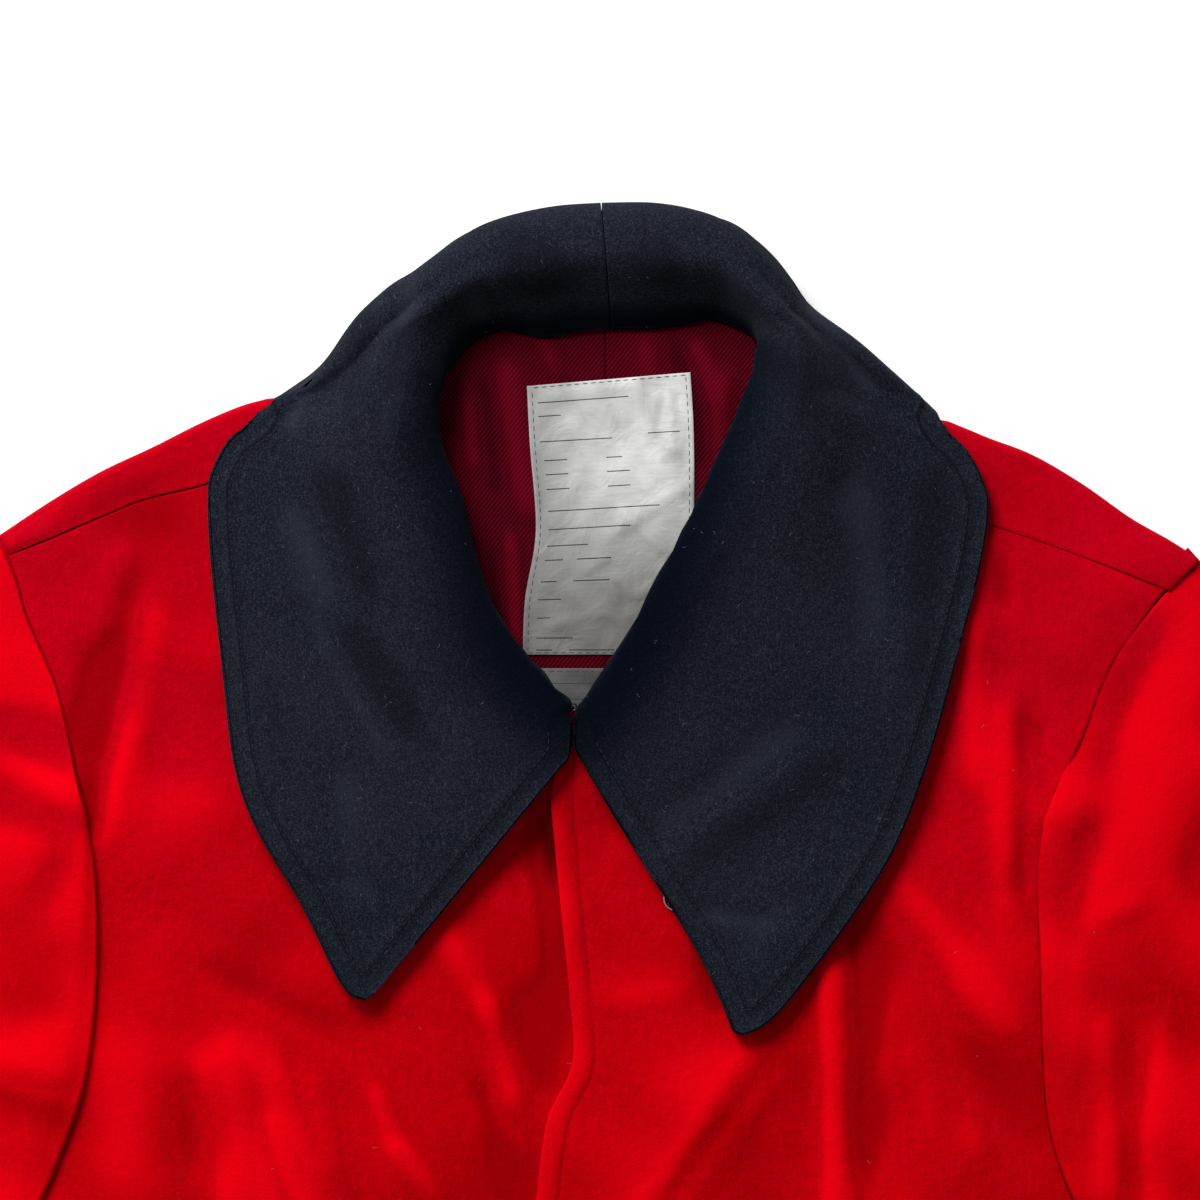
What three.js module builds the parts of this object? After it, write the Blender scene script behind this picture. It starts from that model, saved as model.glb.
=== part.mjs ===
// A military cloak, the sleeved overcoat kind, laid flat on its back with its face up: scarlet melton
// body and sleeves, a very large navy felt collar, and at the back neck a twill lining with two labels.
// Millimetres. +X is towards the wearer's left, +Y from hem to neck, +Z up from the surface it lies on.
// The origin is the middle of the bounding box, on that surface.
// Tables give places as x and d, where d is the distance down the coat from the back neck seam.
import * as THREE from "three";

// Driving sizes
const BACK_LENGTH = 1300;
const ROLL_BEHIND_NECK = 56;
const NECK_Y = (BACK_LENGTH - ROLL_BEHIND_NECK) / 2;
const HEM_HALF_WIDTH = 585;
const HEM_RISE = 77;
const CHEST_HALF_WIDTH = 320;
const UNDERARM_D = 407;
const MELTON = 2.2;
const COLLAR_WALL = 4;
const LINING_WALL = 1.2;
const LABEL_WALL = 0.9;
const SEAM_GAP = 0.3;
const LAY_GAP = 0.4;
const FOLD_RADIUS = 2.4;
const LIFT_INSIDE = 2 * FOLD_RADIUS;
const LIFT_AT_EDGES = MELTON + LAY_GAP;
const LAP_STEP = MELTON + 2 * LAY_GAP;

// Colours and finishes
const cloth = (color, roughness) =>
  new THREE.MeshStandardMaterial({ color, roughness, metalness: 0 });
const SCARLET = cloth(0xbe0010, 0.95);
const NAVY = cloth(0x1d212b, 0.97);
const TWILL = cloth(0x5a0618, 0.85);
const LABEL = cloth(0xc4c5c8, 0.55);
const WIRE = new THREE.MeshStandardMaterial({ color: 0xc9ccd0, roughness: 0.3, metalness: 1 });
const BLACK_WIRE = new THREE.MeshStandardMaterial({ color: 0x15161a, roughness: 0.4, metalness: 0.8 });

// Small helpers
const clamp = (v, low, high) => Math.min(high, Math.max(low, v));
const lerp = (a, b, t) => a + (b - a) * t;
const lerpAll = (a, b, t) => a.map((v, i) => lerp(v, b[i], t));
const ease = (from, to, v) => {
  const t = clamp((v - from) / (to - from), 0, 1);
  return t * t * (3 - 2 * t);
};
const unit = (x, d) => {
  const length = Math.hypot(x, d) || 1;
  return [x / length, d / length];
};

// A smooth plan curve through [x, d] points, read by its share of length.
function track(points) {
  const curve = new THREE.CatmullRomCurve3(points.map(([x, d]) => new THREE.Vector3(x, d, 0)));
  return (share) => {
    const p = curve.getPointAt(clamp(share, 0, 1));
    return [p.x, p.y];
  };
}

// Rows of numbers blended smoothly, read at a row number that need not be whole.
function blendRows(rows, at) {
  const i = clamp(Math.floor(at), 0, rows.length - 2);
  const t = at - i;
  const row = (k) => rows[clamp(k, 0, rows.length - 1)];
  return rows[i].map((_, c) => {
    const [p0, p1, p2, p3] = [row(i - 1)[c], row(i)[c], row(i + 1)[c], row(i + 2)[c]];
    const bend = 2 * p0 - 5 * p1 + 4 * p2 - p3;
    const twist = 3 * (p1 - p2) + p3 - p0;
    return p1 + 0.5 * t * (p2 - p0 + t * (bend + t * twist));
  });
}

// A sheet is a middle surface of points and four-sided faces, made into a closed wall.
class Sheet {
  constructor() {
    this.points = [];
    this.faces = [];
  }
  point(x, d, z) {
    this.points.push(new THREE.Vector3(x, NECK_Y - d, z));
    return this.points.length - 1;
  }
  // Faces between rows of point numbers; round joins the last column to the first.
  join(rows, round = false) {
    for (let r = 0; r + 1 < rows.length; r++) {
      const columns = rows[r].length;
      for (let c = 0; c < (round ? columns : columns - 1); c++) {
        const next = (c + 1) % columns;
        this.faces.push([rows[r][c], rows[r + 1][c], rows[r + 1][next], rows[r][next]]);
      }
    }
  }
  grid(rowCount, columnCount, at) {
    const rows = [];
    for (let r = 0; r <= rowCount; r++) {
      const row = [];
      for (let c = 0; c <= columnCount; c++) row.push(this.point(...at(c / columnCount, r / rowCount)));
      rows.push(row);
    }
    this.join(rows);
  }
  normals() {
    const normals = this.points.map(() => new THREE.Vector3());
    for (const face of this.faces) {
      const [a, b, c, d] = face.map((i) => this.points[i]);
      const across = new THREE.Vector3().subVectors(c, a);
      const other = new THREE.Vector3().subVectors(d, b);
      const normal = across.cross(other);
      face.forEach((i) => normals[i].add(normal));
    }
    return normals.map((n) => n.normalize());
  }
  wall(thickness) {
    const normals = this.normals();
    const count = this.points.length;
    const corners = [];
    for (const side of [0.5, -0.5]) {
      this.points.forEach((p, i) => {
        const moved = p.clone().addScaledVector(normals[i], side * thickness);
        corners.push(moved.x, moved.y, moved.z);
      });
    }
    const triangles = [];
    const edges = new Map();
    for (const [a, b, c, d] of this.faces) {
      // Each face is split along its shorter diagonal.
      const [p, q, r, s] = [a, b, c, d].map((i) => this.points[i]);
      const halves = p.distanceTo(r) <= q.distanceTo(s) ? [[a, b, c], [a, c, d]] : [[a, b, d], [b, c, d]];
      for (const [i, j, k] of halves) triangles.push(i, j, k, count + i, count + k, count + j);
      for (const [from, to] of [[a, b], [b, c], [c, d], [d, a]]) {
        if (!edges.delete(to + "_" + from)) edges.set(from + "_" + to, [from, to]);
      }
    }
    for (const [from, to] of edges.values()) {
      triangles.push(to, from, count + from, to, count + from, count + to);
    }
    const geometry = new THREE.BufferGeometry();
    geometry.setAttribute("position", new THREE.Float32BufferAttribute(corners, 3));
    geometry.setIndex(triangles);
    return geometry;
  }
}

// Plan of the body, in x and d. right and left are the wearer's.
// The shoulder's outer edge runs from the arm to the neck, and a flap of the back folds over it.
const SHOULDER_FOLD = {
  right: [[-258.7, 90], [-236, 75], [-213.8, 62], [-191.4, 51.5], [-169, 40.3], [-152.6, 33.4],
    [-145, 41], [-135, 45], [-117, 41], [-97, 31], [-77, 17]],
  left: [[268.4, 100.3], [256, 92.4], [239.2, 82.9], [216.7, 67.2], [194.3, 54.3], [176.4, 47.5],
    [162, 42], [152, 49.5], [140, 50], [120, 42], [102, 30], [86, 13]],
};
const SHOULDER_SEAM = {
  right: [[-254.4, 98.4], [-236.3, 91.3], [-213.8, 81.8], [-195.8, 74.5], [-166.8, 67.3], [-120, 50], [-71, 31]],
  left: [[255.3, 114.5], [233.6, 105.9], [202, 94.2], [175, 85], [125, 66], [77, 45]],
};
const BACK_NECK_SEAM = [[-77, 17], [-67, 17], [-56.5, 10], [-48, 4.6], [-37, 0.6], [-18.9, 4.4], [1, 0.2],
  [27.3, 0.5], [40.5, -1.1], [51.5, -4.5], [64.7, -0.4], [75, 4.4], [86, 13]];
const ARMHOLE = {
  right: [[-258.7, 90], [-250.8, 108.7], [-246.5, 124.4], [-238.5, 143], [-233, 156.6], [-225, 191],
    [-219.8, 222], [-226, 240], [-237, 275], [-252, 318], [-271, 356], [-295, 386], [-320, 407]],
  left: [[268.4, 100.6], [253.8, 114], [242.4, 129], [232.3, 143.4], [225.7, 157], [216.7, 180],
    [203.3, 209], [200.5, 222], [206, 238], [217, 266], [231, 304], [247, 340], [266, 368], [290, 391], [320, 407]],
};

// Shares of the armhole's length at which the sections of back, front and sleeve meet it.
// The sleeve leaves the seam at share number LAP_STATION, and laps over the body below that.
const STATIONS = {
  right: [0.01, 0.027, 0.09, 0.15, 0.21, 0.27, 0.33, 0.375, 0.45, 0.53, 0.65, 0.78, 0.88, 0.95, 1],
  left: [0.01, 0.052, 0.11, 0.17, 0.225, 0.28, 0.335, 0.385, 0.45, 0.53, 0.65, 0.78, 0.88, 0.95, 1],
};
const LAP_STATION = 7;

// Inner edge of each front at those sections, from the second one on: neckline, then front edge.
const FRONT_ROWS = {
  right: [
    [-71, 31], [-70.8, 52], [-66, 79], [-58, 108], [-43.5, 134], [-28, 155.5], [-13, 175], [-2, 190],
    [30, 205], [30, 245], [30, 290], [30, 330], [30, 360], [30, 390],
  ],
  left: [
    [77, 45], [63, 72], [49, 98], [34, 124], [20, 147], [6, 167], [-7, 182], [-15.9, 200],
    [-14.5, 227], [-11.4, 258.7], [-8, 293], [-7, 322], [-18, 347], [-22.7, 382],
  ],
};
const FRONT_EDGE_AT_HEM = { right: 30, left: -20 };
const UNDERLAP_EDGE = 30;

// Large folds of the fronts and skirt: x and d of both ends, half width, height (a trough is negative).
const FOLDS = [
  [-186, 94, -214, 200, 13, -1.4],
  [-182, 114, -205, 200, 10, 1.2],
  [-185, 277, -80, 303, 20, -1.6],
  [-205, 312, -92, 338, 20, 1.8],
  [-62, 280, -30, 378, 12, 2.4],
  [-165, 318, -130, 378, 9, 1.2],
  [108, 285, 110, 378, 10, 2],
  [122, 270, 124, 378, 9, -1.5],
  [15, 378, 68, 312, 12, 1.6],
  [138, 242, 185, 308, 10, 1.4],
  [168, 130, 176, 196, 12, 1.6],
  [187, 172, 181, 240, 10, 1.4],
  [-430, 830, -500, 1225, 36, 3],
  [-310, 640, -372, 1255, 34, 3.2],
  [-190, 700, -225, 1270, 36, 3.2],
  [-85, 620, -100, 1290, 30, 2.4],
  [80, 640, 92, 1290, 32, 2.6],
  [195, 680, 240, 1270, 36, 3.2],
  [300, 620, 368, 1255, 34, 3.4],
  [425, 840, 505, 1225, 36, 3],
];

// How far a point lies outside a box of the plan, for soft edged regions.
const outside = (x, d, [x0, x1, d0, d1]) =>
  Math.hypot(Math.max(x0 - x, x - x1, 0), Math.max(d0 - d, d - d1, 0));

// The back lies on the floor, and rises over the rear part of the collar, which is turned under it.
const TURNED_UNDER = [-163, 171, -60, 84];
const TURNED_UNDER_RAISE = 5;
const TURNED_UNDER_SLOPE = 120;
function backMiddle(x, d) {
  const share = 1 - ease(0, TURNED_UNDER_SLOPE, outside(x, d, TURNED_UNDER));
  return MELTON / 2 + TURNED_UNDER_RAISE * share;
}

function foldHeight(x, d) {
  let height = 0;
  for (const [x1, d1, x2, d2, halfWidth, rise] of FOLDS) {
    const length = Math.hypot(x2 - x1, d2 - d1);
    const [ux, ud] = unit(x2 - x1, d2 - d1);
    const along = (x - x1) * ux + (d - d1) * ud;
    const across = (x - x1) * ud - (d - d1) * ux;
    const end = ease(-1.5 * halfWidth, 1.5 * halfWidth, along)
      * (1 - ease(length - halfWidth, length + 2 * halfWidth, along));
    height += rise * end * Math.exp(-((across / halfWidth) ** 2));
  }
  return height;
}

// The neckline of the fronts stands up a little, where the collar lifts it.
const NECKLINE_RISE = 4;
const NECKLINE_REACH = 30;
const THROAT = [-30, 45, 120, 192];
function necklineRise(x, d) {
  return NECKLINE_RISE * (1 - ease(0, NECKLINE_REACH, outside(x, d, THROAT)));
}

// How far the fronts lie over the back: least along the side seams and the hem.
const EDGE_FALL = 45;
function frontLift(x, d) {
  const hem = BACK_LENGTH - HEM_RISE * (x / HEM_HALF_WIDTH) ** 2;
  const side = lerp(CHEST_HALF_WIDTH, HEM_HALF_WIDTH, (d - UNDERARM_D) / (hem - UNDERARM_D));
  const fromSide = d > UNDERARM_D - EDGE_FALL ? side - Math.abs(x) : 2 * EDGE_FALL;
  const share = ease(0, EDGE_FALL, fromSide) * ease(0, EDGE_FALL, hem - d);
  return LIFT_AT_EDGES + share * (LIFT_INSIDE - LIFT_AT_EDGES + foldHeight(x, d));
}
const LAP_SLOPE = 34;
function frontMiddle(side, x, d) {
  const from = UNDERLAP_EDGE + LAP_SLOPE / 2;
  const lap = side === "left" ? LAP_STEP * (1 - ease(from, from + LAP_SLOPE, x)) : 0;
  return backMiddle(x, d) + frontLift(x, d) + necklineRise(x, d) + lap;
}
// The top of the body's layers, on which the collar and the sleeves lie.
function bodyTop(x, d) {
  const overlapped = ease(-44, -22, x);
  return lerp(frontMiddle("right", x, d), frontMiddle("left", x, d), overlapped) + MELTON / 2;
}

// Back: rows from the neck and shoulders to the hem, then a flap over each shoulder.
const ARMHOLE_ROWS = STATIONS.right.length - 1;
const SKIRT_ROWS = 12;
const FOLD_SHARES = {
  right: [0, 0.132, 0.257, 0.377, 0.499, 0.586, 0.634, 0.71, 0.85, 1],
  left: [0, 0.069, 0.159, 0.287, 0.409, 0.499, 0.572, 0.65, 0.82, 1],
};
const SHOULDER_COLUMNS = FOLD_SHARES.right.length - 1;
const NECK_COLUMNS = 8;
const armhole = { right: track(ARMHOLE.right), left: track(ARMHOLE.left) };
const shoulderFold = { right: track(SHOULDER_FOLD.right), left: track(SHOULDER_FOLD.left) };
const shoulderSeam = { right: track(SHOULDER_SEAM.right), left: track(SHOULDER_SEAM.left) };
const backNeck = track(BACK_NECK_SEAM);
const hemDrop = (x) => BACK_LENGTH - HEM_RISE * (x / HEM_HALF_WIDTH) ** 2;
const hemCorner = { right: -HEM_HALF_WIDTH, left: HEM_HALF_WIDTH };

// Outward direction of the shoulder fold at a share of its length, square to its line.
function foldOutward(side, share) {
  const [x0, d0] = shoulderFold[side](clamp(share - 0.04, 0, 1));
  const [x1, d1] = shoulderFold[side](clamp(share + 0.04, 0, 1));
  const [ux, ud] = unit(x1 - x0, d1 - d0);
  return side === "right" ? [ud, -ux] : [-ud, ux];
}
// The line about which the back turns over the shoulder.
function foldAxis(side, share) {
  const [x, d] = shoulderFold[side](share);
  const [ox, od] = foldOutward(side, share);
  const inset = FOLD_RADIUS + MELTON / 2;
  return [x - ox * inset, d - od * inset];
}
function backTop(column) {
  if (column < SHOULDER_COLUMNS) return foldAxis("right", FOLD_SHARES.right[column]);
  const beyond = column - SHOULDER_COLUMNS - NECK_COLUMNS;
  if (beyond > 0) return foldAxis("left", FOLD_SHARES.left[SHOULDER_COLUMNS - beyond]);
  const ends = [foldAxis("right", 1), foldAxis("left", 1)];
  const share = (column - SHOULDER_COLUMNS) / NECK_COLUMNS;
  if (share === 0) return ends[0];
  if (share === 1) return ends[1];
  return backNeck(share);
}
function skirtPoint(inner, outer, across, down) {
  const [x, d] = lerpAll(inner, outer, across);
  return [x, d + down ** 3 * (hemDrop(x) - d)];
}
function backSheet() {
  const sheet = new Sheet();
  const columns = 2 * SHOULDER_COLUMNS + NECK_COLUMNS;
  const rows = [];
  for (let r = 0; r <= ARMHOLE_ROWS + SKIRT_ROWS; r++) {
    const row = [];
    for (let c = 0; c <= columns; c++) {
      const across = c / columns;
      let plan;
      if (r === 0) {
        plan = backTop(c);
      } else if (r <= ARMHOLE_ROWS) {
        const down = r / ARMHOLE_ROWS;
        const [right, left] = [armhole.right(STATIONS.right[r]), armhole.left(STATIONS.left[r])];
        const straight = lerpAll(right, left, across);
        const start = lerpAll(backTop(0), backTop(columns), across);
        const top = backTop(c);
        const fade = (1 - down) ** 1.5;
        plan = straight.map((v, i) => v + fade * (top[i] - start[i]));
      } else {
        const down = (r - ARMHOLE_ROWS) / SKIRT_ROWS;
        const right = lerpAll(armhole.right(1), [hemCorner.right, hemDrop(HEM_HALF_WIDTH)], down);
        const left = lerpAll(armhole.left(1), [hemCorner.left, hemDrop(HEM_HALF_WIDTH)], down);
        plan = skirtPoint(right, left, across, down);
      }
      row.push(sheet.point(plan[0], plan[1], backMiddle(...plan)));
    }
    rows.push(row);
  }
  sheet.join(rows);
  for (const side of ["right", "left"]) {
    const flapRows = [[]];
    const turns = [0.25, 0.5, 0.75, 1];
    const strips = [0.4, 1];
    turns.concat(strips).forEach(() => flapRows.push([]));
    for (let c = 0; c <= SHOULDER_COLUMNS; c++) {
      const share = FOLD_SHARES[side][side === "right" ? c : SHOULDER_COLUMNS - c];
      const column = side === "right" ? c : SHOULDER_COLUMNS + NECK_COLUMNS + c;
      const [ax, ad] = foldAxis(side, share);
      const [ox, od] = foldOutward(side, share);
      flapRows[0].push(rows[0][column]);
      const base = backMiddle(ax, ad);
      turns.forEach((turn, i) => {
        const reach = FOLD_RADIUS * Math.sin(turn * Math.PI);
        const z = base + FOLD_RADIUS * (1 - Math.cos(turn * Math.PI));
        flapRows[i + 1].push(sheet.point(ax + ox * reach, ad + od * reach, z));
      });
      const [sx, sd] = shoulderSeam[side](share);
      strips.forEach((strip, i) => {
        const [x, d] = lerpAll([ax, ad], [sx, sd], strip);
        const z = lerp(base + LIFT_INSIDE, frontMiddle(side, x, d), strip);
        flapRows[turns.length + i + 1].push(sheet.point(x, d, z));
      });
    }
    sheet.join(flapRows.reverse());
  }
  return sheet;
}

// Fronts: a grid from the inner edge to the side, and from shoulder to hem.
const FRONT_COLUMNS = 12;
const FRONT_SKIRT_ROWS = 11;
function frontPlan(side, across, row) {
  const rows = FRONT_ROWS[side];
  const last = rows.length - 1;
  if (row <= last) {
    const station = STATIONS[side].slice(1).map((share) => [share]);
    const outer = armhole[side](blendRows(station, row)[0]);
    const straight = lerpAll(blendRows(rows, row), outer, across);
    const seam = shoulderSeam[side](1 - across);
    const start = lerpAll(shoulderSeam[side](1), shoulderSeam[side](0), across);
    const fade = Math.max(0, 1 - row / 4) ** 2;
    return straight.map((v, i) => v + fade * (seam[i] - start[i]));
  }
  const down = (row - last) / FRONT_SKIRT_ROWS;
  const edge = FRONT_EDGE_AT_HEM[side];
  const inner = lerpAll(rows[last], [edge, hemDrop(edge)], down);
  const outer = lerpAll(armhole[side](1), [hemCorner[side], hemDrop(HEM_HALF_WIDTH)], down);
  return skirtPoint(inner, outer, across, down);
}
function frontSheet(side) {
  const sheet = new Sheet();
  const total = FRONT_ROWS[side].length - 1 + FRONT_SKIRT_ROWS;
  sheet.grid(total, FRONT_COLUMNS, (across, down) => {
    const share = side === "left" ? across : 1 - across;
    let [x, d] = frontPlan(side, share, down * total);
    if (down === 0) d += 2 * SEAM_GAP;
    return [x, d, frontMiddle(side, x, d)];
  });
  return sheet;
}

// Sleeves: flattened tubes from the armhole seam, lying partly over the body.
// Plan of each outer and inner edge from the seam to the cuff.
const SLEEVE = {
  right: {
    outer: [[-257.2, 93.2], [-330, 160], [-400, 240], [-451, 314], [-510, 470], [-553, 628]],
    inner: [[-220.1, 218.4], [-216.5, 250], [-216.5, 292], [-221, 330], [-231, 360], [-240.5, 383],
      [-310, 530], [-387, 682]],
  },
  left: {
    outer: [[265.6, 103.2], [336, 166], [405, 246], [458, 322], [515, 478], [556, 636]],
    inner: [[200.4, 219.6], [198.5, 240], [199.2, 290], [200.2, 322], [203, 352], [213, 382],
      [300, 538], [392, 690]],
  },
};
const SLEEVE_ROWS = 15;
const SLEEVE_COLUMNS = LAP_STATION;
const FOLD_STEPS = 3;
const SLEEVE_RADIUS = FOLD_RADIUS;
const SLEEVE_PUFF = 1;
const SLEEVE_CLEAR = 1.1;
const SLEEVE_SEAM_GAP = { right: 0.7, left: 1.2 };
const SLEEVE_END_GAP = { inner: 0.7, outer: 2.7 };
const sleeveOuter = { right: track(SLEEVE.right.outer), left: track(SLEEVE.left.outer) };
const sleeveInner = { right: track(SLEEVE.right.inner), left: track(SLEEVE.left.inner) };

const seamShare = (side, across) =>
  blendRows(STATIONS[side].map((share) => [share]), LAP_STATION * (1 - across))[0];
const lapShare = (side) => STATIONS[side][LAP_STATION];
const SLEEVE_INSET = SLEEVE_RADIUS + MELTON / 2;
// Plan of the sleeve's flat part. Its rounded edges reach out from there to the edge curves.
function sleevePlan(side, share, down) {
  const width = Math.hypot(...[0, 1].map((i) => sleeveOuter[side](down)[i] - sleeveInner[side](down)[i]));
  const inset = (SLEEVE_INSET / width) * ease(0, 0.06, down);
  const across = lerp(inset, 1 - inset, share);
  const seam = armhole[side](seamShare(side, across));
  const inner = sleeveInner[side](down);
  const outer = sleeveOuter[side](down);
  const cuff = lerpAll(sleeveInner[side](1), sleeveOuter[side](1), across);
  const [seamIn, seamOut] = [armhole[side](lapShare(side)), armhole[side](STATIONS[side][0])];
  const [cuffIn, cuffOut] = [sleeveInner[side](1), sleeveOuter[side](1)];
  return [0, 1].map((i) => {
    const alongSeam = lerp(seam[i], cuff[i], down);
    const alongEdges = lerp(inner[i], outer[i], across);
    const corners = lerp(lerp(seamIn[i], seamOut[i], across), lerp(cuffIn[i], cuffOut[i], across), down);
    return alongSeam + alongEdges - corners;
  });
}
// 1 where a point lies on the body below the armhole, falling to 0 away from it.
const SLEEVE_DROP = 42;
const edgeSamples = { right: [], left: [] };
for (const side of ["right", "left"]) {
  for (let i = 0; i <= 40; i++) {
    edgeSamples[side].push(armhole[side](lerp(lapShare(side), 1, i / 40)));
  }
  const corner = [hemCorner[side], hemDrop(HEM_HALF_WIDTH)];
  for (let i = 1; i <= 40; i++) {
    edgeSamples[side].push(lerpAll(armhole[side](1), corner, i / 40));
  }
}
function overBody(side, x, d) {
  const edge = edgeSamples[side];
  let nearest = Infinity;
  let inside = false;
  for (const [ex, ed] of edge) {
    const gap = Math.hypot(ex - x, ed - d);
    if (gap < nearest) {
      nearest = gap;
      inside = Math.abs(x) < Math.abs(ex) && d > edge[0][1];
    }
  }
  return inside ? 1 : 1 - ease(7, SLEEVE_DROP, nearest);
}
function sleeveLower(side, x, d) {
  const resting = backMiddle(x, d);
  const lifted = bodyTop(x, d) + SLEEVE_CLEAR + MELTON / 2;
  return lerp(resting, Math.max(resting, lifted), overBody(side, x, d));
}
function sleeveSheet(side) {
  const sheet = new Sheet();
  const round = 2 * (SLEEVE_COLUMNS + FOLD_STEPS);
  const rows = [];
  for (let r = 0; r <= SLEEVE_ROWS; r++) {
    const down = (r / SLEEVE_ROWS) ** 1.15;
    const row = [];
    for (let c = 0; c < round; c++) {
      const upper = c <= SLEEVE_COLUMNS;
      const lower = c >= SLEEVE_COLUMNS + FOLD_STEPS && c <= 2 * SLEEVE_COLUMNS + FOLD_STEPS;
      let across = 0;
      let turn = 0;
      if (upper) across = c / SLEEVE_COLUMNS;
      else if (lower) across = 1 - (c - SLEEVE_COLUMNS - FOLD_STEPS) / SLEEVE_COLUMNS;
      else if (c < SLEEVE_COLUMNS + FOLD_STEPS) {
        across = 1;
        turn = (c - SLEEVE_COLUMNS) / FOLD_STEPS;
      } else {
        turn = 1 - (c - 2 * SLEEVE_COLUMNS - FOLD_STEPS) / FOLD_STEPS;
      }
      let [x, d] = sleevePlan(side, across, down);
      const [nx, nd] = sleevePlan(side, clamp(across + 0.05, 0.05, 1), down);
      const [mx, md] = sleevePlan(side, clamp(across + 0.05, 0.05, 1) - 0.05, down);
      const [ux, ud] = unit(nx - mx, nd - md);
      const base = sleeveLower(side, x, d);
      const puff = SLEEVE_PUFF * Math.sin(Math.PI * across) * ease(0, 0.15, down);
      let z = upper ? base + 2 * SLEEVE_RADIUS + puff : base;
      if (!upper && !lower) {
        const out = SLEEVE_RADIUS * Math.sin(turn * Math.PI) * (across ? 1 : -1);
        x += ux * out;
        d += ud * out;
        z = base + SLEEVE_RADIUS * (1 + Math.cos(turn * Math.PI));
      }
      if (down === 0) {
        const [ax, ad] = armhole[side](clamp(seamShare(side, across) - 0.02, 0, 1));
        const [bx, bd] = armhole[side](clamp(seamShare(side, across) + 0.02, 0, 1));
        const [tx, td] = unit(bx - ax, bd - ad);
        const gap = SLEEVE_SEAM_GAP[side] + SLEEVE_END_GAP.outer * across ** 4
          + SLEEVE_END_GAP.inner * (1 - across) ** 4;
        x += Math.sign(x) * Math.abs(td) * gap;
        d += Math.abs(tx) * gap;
      }
      row.push(sheet.point(x, d, z));
    }
    rows.push(row);
  }
  if (side === "left") rows.forEach((row) => row.reverse());
  sheet.join(rows, true);
  return sheet;
}

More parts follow.
